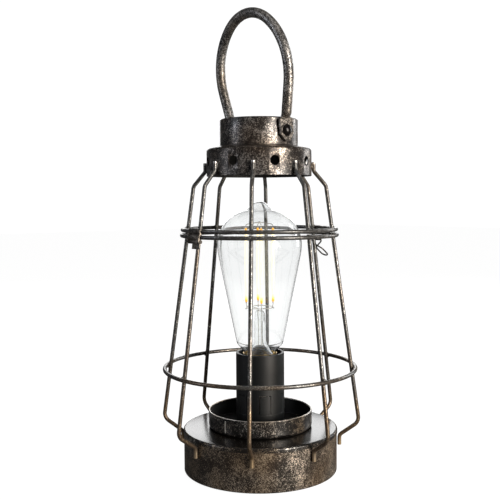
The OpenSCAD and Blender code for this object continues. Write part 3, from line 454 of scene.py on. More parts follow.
def antiquePaint(name, look):
    # antique metallic paint: a dark baked coat, sponged with bright flake that catches the
    # light in small ragged flecks, which clump together and lie thicker in some patches
    material, tree, surface = newMaterial(name)
    place = addNode(tree, "ShaderNodeTexCoord").outputs["Object"]
    fine = addNode(tree, "ShaderNodeTexNoise", {
        "Vector": place, "Scale": 1 / (look["fleck"] * mm), "Detail": 4, "Roughness": 0.7,
    })
    up = addNode(tree, "ShaderNodeSeparateXYZ", {0: place}).outputs["Z"]
    height = fine.outputs["Fac"]
    for size, share, roughness in (("clump", "clumping", 0.6), ("patch", "unevenness", 0.5)):
        noise = addNode(tree, "ShaderNodeTexNoise", {
            "Vector": place, "Scale": 1 / (look[size] * mm), "Detail": 2, "Roughness": roughness,
        })
        lean = addNode(tree, "ShaderNodeMath", {
            0: noise.outputs["Fac"], 1: look[share], 2: -look[share] / 2,
        }, operation="MULTIPLY_ADD")
        height = addNode(tree, "ShaderNodeMath", {0: height, 1: lean.outputs[0]}).outputs[0]
    if "highlightAbove" in look:
        # painted highlight: above the given height the flake mask is raised, so the rim shows one
        # bright line
        rim = addNode(tree, "ShaderNodeMapRange", {
            "Value": up, "From Min": look["highlightAbove"] * mm,
            "From Max": (look["highlightAbove"] + 0.4) * mm, "To Max": 0.3,
        })
        height = addNode(tree, "ShaderNodeMath", {0: height, 1: rim.outputs[0]}).outputs[0]
    mask = addNode(tree, "ShaderNodeMapRange", {
        "Value": height, "From Min": look["edge"], "From Max": look["edge"] + look["softness"],
    }, interpolation_type="SMOOTHSTEP").outputs[0]
    for start, end in look.get("paleEndsAndHighlights", ()):
        # the coat is thin and pale where a wire was sheared off; the lowest span also puts a
        # painted highlight along each lower wire's foot
        endMask = addNode(tree, "ShaderNodeMapRange", {
            "Value": up, "From Min": start * mm, "From Max": end * mm, "To Max": 0.85,
        })
        mask = addNode(tree, "ShaderNodeMath", {
            0: mask, 1: endMask.outputs[0],
        }, operation="MAXIMUM").outputs[0]
    tone = addNode(tree, "ShaderNodeTexNoise", {
        "Vector": place, "Scale": 1 / (look["patch"] * 2.2 * mm), "Detail": 1,
    })
    tone = tone.outputs["Fac"]
    if "warmDown" in look:
        # browner towards the foot of the lamp
        down = addNode(tree, "ShaderNodeMapRange", {
            "Value": up, "From Min": look["warmDown"][0] * mm,
            "From Max": look["warmDown"][1] * mm, "To Min": -0.2, "To Max": 0.2,
        })
        tone = addNode(tree, "ShaderNodeMath", {0: tone, 1: down.outputs[0]}).outputs[0]
    warmth = addNode(tree, "ShaderNodeMapRange", {
        "Value": tone, "From Min": 0.35, "From Max": 0.65,
    })
    ground = addNode(tree, "ShaderNodeMix", {
        "Factor": warmth.outputs[0], 6: fromHex(look["dark"]), 7: fromHex(look["brown"]),
    }, data_type="RGBA")
    flake = addNode(tree, "ShaderNodeMix", {
        "Factor": warmth.outputs[0], 6: fromHex(look["flakeCool"]), 7: fromHex(look["flakeWarm"]),
    }, data_type="RGBA")
    colour = addNode(tree, "ShaderNodeMix", {
        "Factor": mask, 6: ground.outputs[2], 7: flake.outputs[2],
    }, data_type="RGBA")
    metal = addNode(tree, "ShaderNodeMapRange", {
        "Value": mask, "To Min": look["groundMetal"], "To Max": look["flakeMetal"],
    })
    rough = addNode(tree, "ShaderNodeMapRange", {
        "Value": mask, "To Min": look["groundRough"], "To Max": look["flakeRough"],
    })
    bump = addNode(tree, "ShaderNodeBump", {
        "Strength": look["relief"], "Distance": 0.05 * mm, "Height": fine.outputs["Fac"],
    })
    feed(tree, surface, {"Base Color": colour.outputs[2], "Metallic": metal.outputs[0],
                         "Roughness": rough.outputs[0], "Normal": bump.outputs[0]})
    return material


# sizes in mm: flecks are about 0.6 across on the real coat, drawn a little coarser so they show
sponged = {
    "fleck": 0.75, "clump": 2.6, "clumping": 0.3, "patch": 12, "unevenness": 0.3,
    "softness": 0.2, "groundMetal": 0.1, "groundRough": 0.34, "flakeRough": 0.38,
    "flakeMetal": 1.0, "relief": 0.4,
}
bronzePaint = antiquePaint("antique bronze paint", {
    **sponged, "dark": "#110e0b", "brown": "#2c2016", "flakeCool": "#eadccb",
    "flakeWarm": "#b9a78f", "fleck": 0.68, "clump": 2.0, "clumping": 0.26, "patch": 14,
    "unevenness": 0.34, "edge": 0.478, "groundMetal": 0.2, "groundRough": 0.4,
    "flakeRough": 0.48, "relief": 0.5,
})
pewterPaint = antiquePaint("antique bronze paint, silvered", {
    **sponged, "dark": "#0f0f11", "brown": "#261e18", "flakeCool": "#cfccca",
    "flakeWarm": "#c5b5a4", "clump": 2.5, "edge": 0.5, "groundMetal": 0.3, "groundRough": 0.32,
    "flakeRough": 0.34, "relief": 0.5,
})
blackCoat = {
    **sponged, "dark": "#080808", "brown": "#120e0b", "flakeCool": "#d6d4cf",
    "flakeWarm": "#b3a18a", "patch": 13, "unevenness": 0.4, "edge": 0.55, "softness": 0.12,
}
blackPaint = antiquePaint("antique black paint", blackCoat)
dishPaint = antiquePaint("antique black paint, painted highlight at the rim", {
    **blackCoat, "flakeCool": "#dcdad6", "edge": 0.53, "highlightAbove": 46.7,
})
deckPaint = antiquePaint("antique black paint under clear lacquer", {
    **sponged, "dark": "#0a0908", "brown": "#14100c", "flakeCool": "#6f6c68",
    "flakeWarm": "#6b5945", "fleck": 0.9, "clump": 3.2, "clumping": 0.15, "unevenness": 0.15,
    "edge": 0.7, "softness": 0.14, "groundRough": 0.2, "flakeRough": 0.22, "flakeMetal": 0.6,
    "relief": 0.0,
})
wirePaint = antiquePaint("antique bronze paint on wire", {
    **sponged, "dark": "#4c4c4b", "brown": "#5a4c3e", "flakeCool": "#cfcdca",
    "flakeWarm": "#c4ac89", "clump": 3.0, "patch": 18, "edge": 0.52, "softness": 0.24,
    "groundMetal": 0.6, "groundRough": 0.32, "flakeRough": 0.34, "flakeMetal": 0.85,
    # the span from 29 down to 22.5 covers the whole foot of each lower wire: a painted highlight
    "relief": 0.35, "paleEndsAndHighlights": [(29.0, 22.5), (233.0, 234.5)], "warmDown": (130, 15),
})
charcoalPaint = antiquePaint("antique charcoal paint", {
    **sponged, "dark": "#29292a", "brown": "#302c29", "flakeCool": "#e2dfdb",
    "flakeWarm": "#cabfb1", "fleck": 0.7, "clump": 2.4, "clumping": 0.25, "unevenness": 0.2,
    "edge": 0.44, "softness": 0.22, "groundMetal": 0.5, "groundRough": 0.36,
    "flakeRough": 0.42, "flakeMetal": 0.95,
})


gritSize = 0.5556


def plainFinish(name, colour, grain, relief=0.2, **shader):
    # a finish with a fine grain in its colour and a slight relief, drawn coarse so it shows
    material, tree, surface = newMaterial(name, **shader)
    place = addNode(tree, "ShaderNodeTexCoord").outputs["Object"]
    grit = addNode(tree, "ShaderNodeTexNoise", {
        "Vector": place, "Scale": 1 / (gritSize * mm), "Detail": 2,
    })
    base = fromHex(colour)
    low = [c * (1 - grain) for c in base[:3]] + [1]
    high = [min(1, c * (1 + grain)) for c in base[:3]] + [1]
    mix = addNode(tree, "ShaderNodeMix", {
        "Factor": grit.outputs["Fac"], 6: low, 7: high,
    }, data_type="RGBA")
    bump = addNode(tree, "ShaderNodeBump", {
        "Strength": relief, "Distance": 0.02 * mm, "Height": grit.outputs["Fac"],
    })
    feed(tree, surface, {"Base Color": mix.outputs[2], "Normal": bump.outputs[0]})
    return material


holderBlack = plainFinish("moulded thermoset black", "#070b0d", 0.15, Roughness=0.46)
# painted highlight: a near-white finish on the faces in the seam's slot shows as a bright line
seamHighlight = plainFinish("near-white seam line, painted highlight", "#f4f1ea", 0.1, Metallic=0.1,
                        Roughness=0.4)
# painted shade: a plain black finish for the faces inside the collar, cap and dish and for faces
# towards the floor
shadeBlack = plainFinish("plain black, painted shade", "#070707", 0.2, Roughness=0.75)
trayBlack = plainFinish("moulded ABS black", "#17181a", 0.15, Roughness=0.5)
padRubber = plainFinish("rubber pads", "#161616", 0.2, Roughness=0.8)
knobGrey = plainFinish("moulded ABS light grey", "#c9c9c4", 0.06, Roughness=0.45)
zincSteel = plainFinish("zinc plated steel", "#b5b3ad", 0.1, Metallic=1.0, Roughness=0.32)
darkSteel = plainFinish("blackened steel", "#4d4a47", 0.25, Metallic=0.6, Roughness=0.36)
headBlack = plainFinish("black oxide on steel", "#151312", 0.2, Metallic=0.5, Roughness=0.24)
nickel = plainFinish("nickel plated spring steel", "#c4c0b8", 0.05, Metallic=1.0, Roughness=0.2)
brass = plainFinish("rolled brass", "#c7a35a", 0.08, Metallic=1.0, Roughness=0.28)
porcelain = plainFinish("glazed porcelain", "#e8e3d8", 0.03, 0.05, Roughness=0.15)
blackGlass = plainFinish("black glass insulator", "#0b0b0c", 0.1, 0.05, Roughness=0.12)
leadJacket = plainFinish("PVC wire jacket", "#8e2119", 0.08, Roughness=0.4)


def cellFilm(silverFrom):
    # printed shrink film on the cells: plain blue in the middle and silver towards the ends
    material, tree, surface = newMaterial("printed shrink film", Roughness=0.25)
    place = addNode(tree, "ShaderNodeTexCoord").outputs["Object"]
    split = addNode(tree, "ShaderNodeSeparateXYZ", {0: place})
    side = addNode(tree, "ShaderNodeMath", {0: split.outputs["X"]}, operation="ABSOLUTE")
    band = addNode(tree, "ShaderNodeMath", {0: side.outputs[0], 1: silverFrom * mm},
                   operation="GREATER_THAN")
    mix = addNode(tree, "ShaderNodeMix", {
        "Factor": band.outputs[0], 6: fromHex("#3d5c87"), 7: fromHex("#b8bcc2"),
    }, data_type="RGBA")
    feed(tree, surface, {"Base Color": mix.outputs[2], "Metallic": band.outputs[0]})
    return material


cellJacket = cellFilm(14)


def clearGlass(name, tint, edge, start):
    # blown soda-lime glass: clear, and grey where the wall is seen along itself
    material, tree, surface = newMaterial(name, Roughness=0.0, IOR=1.5)
    view = addNode(tree, "ShaderNodeLayerWeight", {"Blend": 0.5})
    along = addNode(tree, "ShaderNodeMapRange", {
        "Value": view.outputs["Facing"], "From Min": start, "From Max": 1.0,
    }, interpolation_type="SMOOTHSTEP")
    colour = addNode(tree, "ShaderNodeMix", {
        "Factor": along.outputs[0], 6: fromHex(tint), 7: fromHex(edge),
    }, data_type="RGBA")
    feed(tree, surface, {"Base Color": colour.outputs[2], "Transmission Weight": 1.0})
    return material


bulbClear = clearGlass("blown clear glass", "#fcfdfd", "#a3a8ab", 0.72)
stemClear = clearGlass("pressed clear glass", "#fafbfb", "#70767a", 0.5)


def filamentGlow():
    # yellow phosphor over a row of chips, lit: nearly white in the middle, amber at its ends
    material, tree, surface = newMaterial("lit phosphor", Roughness=0.5)
    place = addNode(tree, "ShaderNodeTexCoord").outputs["Object"]
    split = addNode(tree, "ShaderNodeSeparateXYZ", {0: place})
    low, high = (corner[2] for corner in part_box("bulb_filaments"))
    along = addNode(tree, "ShaderNodeMapRange", {
        "Value": split.outputs["Z"], "From Min": low, "From Max": high,
    })
    ramp = addNode(tree, "ShaderNodeValToRGB", {0: along.outputs[0]})
    stops = ramp.color_ramp.elements
    stops[0].color, stops[1].color = fromHex("#c87808"), fromHex("#c87f14")
    for spot, code in ((0.05, "#eeb52a"), (0.11, "#fff3c4"), (0.89, "#fff3c4"), (0.95, "#e8a92c")):
        stops.new(spot).color = fromHex(code)
    feed(tree, surface, {"Base Color": ramp.outputs[0], "Emission Color": ramp.outputs[0],
                         "Emission Strength": 0.95})
    return material


phosphor = filamentGlow()

finishes = {
    wirePaint: ["low_ring", "joint_ring", "lid_ring"]
    + [f"lower_wire_{k}" for k in range(1, 9)] + [f"lid_wire_{k}" for k in range(1, 9)],
    charcoalPaint: ["pivot_washers"],
    darkSteel: ["hinge_pin"],
    zincSteel: ["base_lugs", "pivot_nuts", "nipple_nuts", "threaded_nipple"],
    nickel: ["battery_contacts"],
    trayBlack: ["switch_body"],
    brass: ["holder_screw_shell", "holder_contact"],
    porcelain: ["holder_core"],
    blackGlass: ["bulb_tip"],
    leadJacket: ["supply_leads"],
}
for material, nodes in finishes.items():
    for node in nodes:
        dress(node, material)
print("stage: finishes on the CAD pieces")


drum = {"radius": 58.6, "foot": 1.0, "top": 31.38, "sheet": 0.8, "hem": 1.0, "sides": 144}


def makeDrum():
    hem, foot = drum["hem"], drum["foot"]
    outline = [(drum["radius"] - 1.5, foot)]
    outline += arc((drum["radius"] - hem, foot + hem), hem, -90, 0, 5)
    outline += [(drum["radius"], drum["top"])]
    piece = turned("drumShell", outline, drum["sides"])
    thicken(piece, drum["sheet"])
    complete(piece, "lamp_base", bronzePaint, ["base_drum"])


deck = {"hole": 5.05, "flat": 40.5, "height": 34.0, "edge": 33.4, "radius": 59.0,
        "round": 1.6, "skirt": 30.0, "sheet": 0.8, "sides": 144}


def makeDeck():
    middle = (deck["radius"] - deck["round"], deck["edge"] - deck["round"])
    outline = [(deck["hole"], deck["height"]), (deck["flat"], deck["height"])]
    outline += arc(middle, deck["round"], 90, 0, 8) + [(deck["radius"], deck["skirt"])]
    piece = turned("pressedTop", outline, deck["sides"])
    coat(piece, blackPaint, deckPaint)
    paintFaces(piece, 1, lambda place, normal: abs(normal.z) > 0.98)
    thicken(piece, deck["sheet"])
    complete(piece, "lamp_base", None, ["base_top"])


foot = {"circle": 50.0, "at": (45, 135, 225, 315), "radius": 5.0, "height": 1.98, "dish": 0.35}


def makeFeet():
    radius, height = foot["radius"], foot["height"]
    outline = [(radius - 1.6, foot["dish"]), (radius - 1.2, 0.05), (radius - 1.0, 0)]
    outline += [(radius - 0.5, 0), (radius - 0.15, 0.15), (radius, 0.5), (radius, height)]
    outline += [(radius - 1.6, height)]
    pad = turned("footPad", outline, 40)
    fillHole(pad, lambda a, b: offMiddle(a, b) < radius - 1.55)
    pads = repeatPiece("footPads", pad, [(a, onCircle(foot["circle"], a)) for a in foot["at"]])
    complete(pads, "lamp_base", padRubber, ["base_feet"])


screw = {"circle": 51.0, "at": (30, 150, 270), "low": 2.0, "length": 10.0, "radius": 1.5,
         "head": 2.9, "headHeight": 1.5, "pitch": 0.5, "cross": (3.0, 0.7, 1.6), "crossTurn": 20}


def makeScrews():
    low, radius = screw["low"], screw["radius"]
    outline = [(0.4, low), (screw["head"] - 0.15, low), (screw["head"], low + 0.15)]
    outline += [(radius, low + screw["headHeight"])]
    turns = int((screw["length"] - screw["headHeight"] - 0.6) / screw["pitch"])
    for i in range(turns):
        at = low + screw["headHeight"] + 0.2 + screw["pitch"] * i
        outline += [(radius - 0.22, at + 0.1), (radius, at + 0.3)]
    outline += [(radius - 0.4, low + screw["length"]), (0, low + screw["length"])]
    piece = turned("trayScrew", outline, 28)
    openMesh(piece)
    pickPoints(piece, lambda place: place.z < low + 0.01 and offMiddle(place) < 0.41)
    bpy.ops.mesh.merge(type="CENTER")
    closeMesh()
    for turn in (0, 90):
        cutAway(piece, [addBox(screw["cross"], (0, 0, low), turn)])
    screws = repeatPiece("trayScrews", piece, [
        (a + screw["crossTurn"], onCircle(screw["circle"], a)) for a in screw["at"]])
    complete(screws, "lamp_base", zincSteel, ["base_screws"])


cell = {"pitch": 15.0, "middle": -10.0, "height": 11.35, "length": 50.4, "radius": 7.15,
        "button": 2.75, "buttonHeight": 1.4}


def makeCells():
    half, radius = cell["length"] / 2, cell["radius"]
    body = half - cell["buttonHeight"]
    outline = [(radius - 2.2, -half + 0.15), (radius - 1.9, -half), (radius - 0.5, -half)]
    outline += [(radius - 0.12, -half + 0.15), (radius, -half + 0.5), (radius, body - 0.5)]
    outline += [(radius - 0.12, body - 0.15), (radius - 0.5, body), (radius - 1.1, body)]
    outline += [(radius - 1.4, body - 0.3), (cell["button"] + 0.5, body - 0.3)]
    outline += [(cell["button"], body), (cell["button"], half - 0.3), (cell["button"] - 0.3, half)]
    outline += [(0, half)]
    piece = turned("cell", outline, 48)
    fillHole(piece, lambda a, b: max(a.z, b.z) < -half + 0.2 and offMiddle(a, b) < radius - 2.15)
    cells = []
    for k in range(3):
        twin = copyPiece(piece)
        twin.rotation_euler.y = radians((90, -90, 90)[k])
        twin.location = (0, (cell["middle"] + (k - 1) * cell["pitch"]) * mm, cell["height"] * mm)
        settle(twin)
        cells.append(twin)
    bpy.data.objects.remove(piece)
    complete(joinPieces("cells", cells), "lamp_base", cellJacket, ["battery_cells"])


spring = {"room": 4.0, "wire": 0.6, "foot": 4.58, "top": 2.43, "turns": 4}


def makeSprings():
    coils = []
    steps = spring["turns"] * 24
    for k in range(3):
        way = 1 if k % 2 == 0 else -1
        points = []
        for i in range(steps + 1):
            part = i / steps
            radius = spring["foot"] + (spring["top"] - spring["foot"]) * part
            along = 0.35 + (spring["room"] - 0.75) * part
            turn = radians(15 * i)
            points.append((
                -way * (cell["length"] / 2 + spring["room"] - along),
                cell["middle"] + (k - 1) * cell["pitch"] + radius * sin(turn) * way,
                cell["height"] - radius * cos(turn),
            ))
        coils.append(wireAlong("coil", points, spring["wire"], facets=3))
    complete(joinPieces("contactSprings", coils), "lamp_base", nickel,
             ["battery_springs"])


makeDrum()
makeDeck()
makeFeet()
makeScrews()
makeCells()
makeSprings()
print("stage: base")


dish = {"radius": 39.5, "floor": 34.02, "rim": 47.2, "bead": 0.7, "sheet": 0.8, "round": 2.2,
        "seamAt": 190, "seamWidth": 0.8, "sides": 144}


def makeDish():
    radius, low = dish["radius"], dish["floor"]
    corner = (radius - dish["round"], low + dish["round"])
    rimMiddle = (radius - dish["sheet"] / 2, dish["rim"] - dish["bead"])
    outline = [(deck["hole"], low)] + arc(corner, dish["round"], -90, 0, 6)
    outline += arc(rimMiddle, dish["bead"], -55, 235, 14)
    outline += arc(corner, dish["round"] - dish["sheet"], 0, -90, 6)
    outline += [(deck["hole"], low + dish["sheet"]), (deck["hole"], low)]
    piece = turned("dishBowl", outline, dish["sides"], True)
    seamLow, seamHigh = low + dish["round"], dish["rim"] - 2
    cutAway(piece, [addBox(
        (1.2, dish["seamWidth"], seamHigh - seamLow),
        (radius + 0.25, 0, (seamLow + seamHigh) / 2), dish["seamAt"])])
    coat(piece, dishPaint, shadeBlack, seamHighlight)
    # painted shade: the bowl's inside and floor are plain black
    paintFaces(piece, 1, lambda place, normal: place.z < rimMiddle[1] - 0.8
               and offMiddle(place) < radius - 0.5)
    # painted highlight: the faces in the seam's slot get the near-white finish
    seam = Vector(onCircle(1, dish["seamAt"]))
    paintFaces(piece, 2, lambda place, normal: place.dot(seam) > 0
               and abs(place.y * seam.x - place.x * seam.y) < dish["seamWidth"]
               and radius - 0.42 < offMiddle(place) < radius - 0.03
               and seamLow < place.z < seamHigh + 0.5)
    complete(piece, "lamp_base", None, ["gallery_dish"])


def softened(node, width, body, material):
    # a CAD piece's shape with its sharp edges broken, as moulded or tumbled pieces have them
    first, *rest = node.split("_")
    name = first + "".join(word.title() for word in rest)
    piece = bpy.data.objects.new(name, bpy.data.objects[node].data.copy())
    bpy.context.scene.collection.objects.link(piece)
    piece.data.materials.clear()
    openMesh(piece)
    bpy.ops.mesh.remove_doubles(threshold=0.0005 * mm)
    bpy.ops.mesh.dissolve_limited(angle_limit=radians(0.6))
    closeMesh()
    useModifier(piece, "BEVEL", width=width * mm, segments=2, limit_method="ANGLE",
                angle_limit=radians(38), use_clamp_overlap=True)
    complete(piece, body, material, [node], 25)
    useModifier(piece, "WEIGHTED_NORMAL", weight=100, keep_sharp=True)


makeDish()
softened("holder_base", 0.3, "lamp_base", holderBlack)
softened("holder_skirt", 0.22, "lamp_base", holderBlack)
softened("battery_tray", 0.3, "lamp_base", trayBlack)
softened("battery_door", 0.25, "battery_door", trayBlack)
softened("switch_knob", 0.2, "switch_knob", knobGrey)
print("stage: dish, lampholder and tray")


cage = {"lean": 7.951, "widest": (74.3, 46.0), "wire": 3.0, "count": 8,
        "lowRing": 79.5, "lidRing": 184.8}
bead = {"onRing": (0.85, 1.5, 0.8), "onFoot": (0.55, 0.6, 2.4), "footAt": (39.9, 1.35, 231.8)}


def cageRadius(height):
    return cage["widest"][0] - (height - cage["widest"][1]) * tan(radians(cage["lean"]))


def weldBead(size, place):
    # a small solidified puddle: a ball pressed and drawn out of round
    deselect()
    bpy.ops.mesh.primitive_uv_sphere_add(segments=12, ring_count=8, radius=mm)
    ball = bpy.context.object
    openMesh(ball)
    pickPoints(ball, lambda point: point.z > 0.3)
    bpy.ops.transform.resize(value=(0.86, 0.9, 1.1), center_override=(0, 0, 0))
    pickPoints(ball, lambda point: point.y > 0.4)
    bpy.ops.transform.translate(value=(0.12 * mm, 0.1 * mm, -0.15 * mm))
    closeMesh()
    ball.scale = size
    ball.location = tuple(c * mm for c in place)
    settle(ball)
    return ball


def beadRow(name, spots, body):
    # the same beads beside every wire
    first = [weldBead(size, place) for size, place in spots]
    row = []
    for k in range(cage["count"]):
        row += [copyPiece(one, 360 / cage["count"] * k) for one in first]
    for one in first:
        bpy.data.objects.remove(one)
    complete(joinPieces(name, row), body, wirePaint, angle=80)


def makeWelds():
    half = cage["wire"] / 2
    low, lid = cage["lowRing"], cage["lidRing"]
    x, y, z = bead["footAt"]
    beadRow("lowerWelds", [
        (bead["onRing"], (cageRadius(low + 1.1) + half + 0.2, 0, low + 1.35)),
        (bead["onRing"], (cageRadius(low - 1.1) + half + 0.2, 0, low - 1.35)),
    ], "lamp_base")
    beadRow("lidWelds", [
        (bead["onRing"], (cageRadius(lid + 1.1) + half - 0.1, 0, lid + 1.45)),
        (bead["onFoot"], (x, y, z)),
        (bead["onFoot"], (x, -y, z)),
    ], "cage_lid")


makeWelds()
print("stage: cage welds")


softened("hinge_lower_leaf", 0.18, "lamp_base", charcoalPaint)
softened("hinge_upper_leaf", 0.15, "cage_lid", charcoalPaint)
softened("latch_bracket", 0.15, "lamp_base", darkSteel)
softened("latch_keeper", 0.15, "cage_lid", darkSteel)

latch = {"eye": (2.95, -5.326), "halfWidth": 5.2, "shoulder": 2.3, "leg": 6.0, "neck": 0.75,
         "loop": 13.2, "loopHalf": 3.4, "slope": 43.0, "wire": 1.2, "onWire": 180.6}


def makeLatch():
    slope = radians(latch["slope"])
    out = Vector((sin(slope), 0, -cos(slope)))
    side = Vector((0, 1, 0))
    root = Vector((0, 0, -latch["leg"]))
    neck, wide, bow = latch["neck"] * side, latch["halfWidth"] * side, latch["loopHalf"]
    arm = latch["loop"] - bow - latch["wire"] / 2
    half = [wide, wide - Vector((0, 0, latch["shoulder"])), root + neck + Vector((0, 0, 0.9)),
            root + neck + 0.3 * out, root + 0.5 * (neck + bow * side) + 1.6 * out,
            root + bow * side + 3.6 * out]
    for along, across in arc((0, 0), bow, 90, 15, 5):
        half.append(root + (arm + along) * out + across * side)
    tip = [root + (arm + bow) * out]
    back = [Vector((p.x, -p.y, p.z)) for p in reversed(half)]
    loop = wireAlong("latchLoop", smoothOver([tuple(p) for p in half + tip + back]), latch["wire"])
    pin = wireAlong("latchPin", [(0, 0.2 - wide.y, 0), (0, wide.y - 0.2, 0)], latch["wire"])
    piece = joinPieces("latchBail", [loop, pin])
    tilt = Matrix.Rotation(-radians(cage["lean"]), 4, "Y")
    base = Matrix.Translation(Vector((cageRadius(latch["onWire"]), 0, latch["onWire"])) * mm)
    eye = Matrix.Translation(Vector((latch["eye"][0], 0, latch["eye"][1])) * mm)
    piece.matrix_world = base @ tilt @ eye
    complete(piece, "latch", darkSteel, ["latch_bail"])


makeLatch()
print("stage: hinge and latch")


collar = {"radius": 39.6, "low": 224.8, "top": 245.5, "round": 2.0, "sheet": 1.0,
          "rise": 2.0, "throat": 25.0, "holes": 8, "hole": 3.55, "holeUp": 10.5, "holeEdge": 0.4,
          "sides": 128}
cap = {"radius": 29.5, "low": 247.52, "height": 19.7, "round": 1.1, "sheet": 1.0,
       "pivotUp": 257.37, "pivotHole": 4.1}


def shadeInside(piece, paint):
    # painted shade: faces towards the middle line or the floor get plain black, the outside keeps
    # the sponged coat
    coat(piece, paint, shadeBlack)
    paintFaces(piece, 1, lambda place, normal: normal.z < -0.5
               or normal.x * place.x + normal.y * place.y < -0.5 * offMiddle(place))


def pivotDrill(size, depth):
    # a drill along the handle's pivot
    deselect()
    bpy.ops.mesh.primitive_cylinder_add(
        vertices=32, radius=size / 2 * mm, depth=depth * mm,
        location=(0, 0, cap["pivotUp"] * mm), rotation=(pi / 2, 0, 0))
    return [bpy.context.object]


def makeCollar():
    radius, low, sheet = collar["radius"], collar["low"], collar["sheet"]
    corner = (radius - collar["round"], collar["top"] - collar["round"])
    shoulder = collar["top"] + collar["rise"]
    outline = [(radius - sheet, low + 0.2), (radius - sheet + 0.2, low), (radius - 0.2, low)]
    outline += [(radius, low + 0.2)] + arc(corner, collar["round"], 0, 80, 7)
    outline += [(cap["radius"], shoulder), (collar["throat"], shoulder)]
    outline += [(collar["throat"], shoulder - sheet), (cap["radius"] - 0.1, shoulder - sheet)]
    outline += arc(corner, collar["round"] - sheet, 80, 0, 5) + [(radius - sheet, low + 0.2)]
    piece = turned("ventCollar", outline, collar["sides"], True)
    hole, holeUp, step = collar["hole"], low + collar["holeUp"], 360 / collar["holes"]
    cutters = []
    for k in range(collar["holes"]):
        turn = step * (k + 0.5)
        deselect()
        bpy.ops.mesh.primitive_cylinder_add(
            vertices=48, radius=hole * mm, depth=8 * mm,
            location=Vector(onCircle(radius, turn, holeUp)) * mm,
            rotation=(0, pi / 2, radians(turn)))
        cutters.append(bpy.context.object)
    cutAway(piece, cutters)

    def onHole(point):
        # whether a point lies on the wall of the hole nearest to it
        turn = radians(step * (round(degrees(atan2(point.y, point.x)) / step - 0.5) + 0.5))
        away = hypot(point.y * cos(turn) - point.x * sin(turn), point.z - holeUp)
        return abs(away - hole) < 0.06

    openMesh(piece)
    pickEdges(piece, lambda a, b: onHole(a) and onHole(b)
              and abs(offMiddle(a) - offMiddle(b)) < sheet / 2)
    bpy.ops.mesh.bevel(
        offset=collar["holeEdge"] * mm, segments=2, affect="EDGES", clamp_overlap=True)
    closeMesh()
    shadeInside(piece, pewterPaint)
    complete(piece, "cage_lid", None, ["vent_collar"])


def makeCap():
    radius, top = cap["radius"], cap["low"] + cap["height"]
    outline = [(radius, cap["low"])]
    outline += arc((radius - cap["round"], top - cap["round"]), cap["round"], 0, 90, 7)
    outline += [(0, top)]
    piece = turned("topCap", outline, 128)
    thicken(piece, cap["sheet"])
    cutAway(piece, pivotDrill(cap["pivotHole"], 2.2 * radius))
    shadeInside(piece, pewterPaint)
    complete(piece, "cage_lid", None, ["top_cap"])


makeCollar()
makeCap()
print("stage: collar and cap")


handle = {"tube": 7.5, "halfWidth": 40.0, "wideUp": 44.0, "sideRound": 46.0, "crownRound": 36.0,
          "splay": 14.0, "lean": 7.0, "tabY": 31.45, "tabWide": 12.4, "tabThick": 2.2,
          "tabDown": 7.8, "tabChamfer": 5.2, "flatUp": 8.2, "roundUp": 13.6, "shoulder": 1.8,
          "legUp": 12.5, "hole": 4.1}
pivotScrew = {"inner": 23.5, "seat": 32.65, "radius": 2.0, "head": 4.4, "headHeight": 2.4}


def handleLine():
    # the tube's middle line over the pivot, one half: across and up, in mm
    turn = acos((handle["sideRound"] - handle["halfWidth"])
                / (handle["sideRound"] - handle["crownRound"]))
    splay = radians(handle["splay"])
    side = (handle["halfWidth"] - handle["sideRound"], handle["wideUp"])
    crownUp = side[1] + (handle["sideRound"] - handle["crownRound"]) * sin(turn)
    top = (side[0] + handle["sideRound"] * cos(splay), side[1] - handle["sideRound"] * sin(splay))
    low = (top[0] - (top[1] - handle["legUp"]) * tan(splay), handle["legUp"])
    tab = handle["tabY"]
    foot = [(tab, -handle["tabDown"]), (tab, 4.0), (tab, 9.2), (low[0] - 0.3, 11.6),
            (low[0] + 0.55, 14.6)]
    line = smoothOver(foot, 3)
    line += [tuple(a + (b - a) * t for a, b in zip(low, top)) for t in (0.3, 0.6)]
    line += arc(side, handle["sideRound"], -handle["splay"], degrees(turn), 24)
    line += arc((0, crownUp), handle["crownRound"], degrees(turn), 90, 14)[1:]
    return line


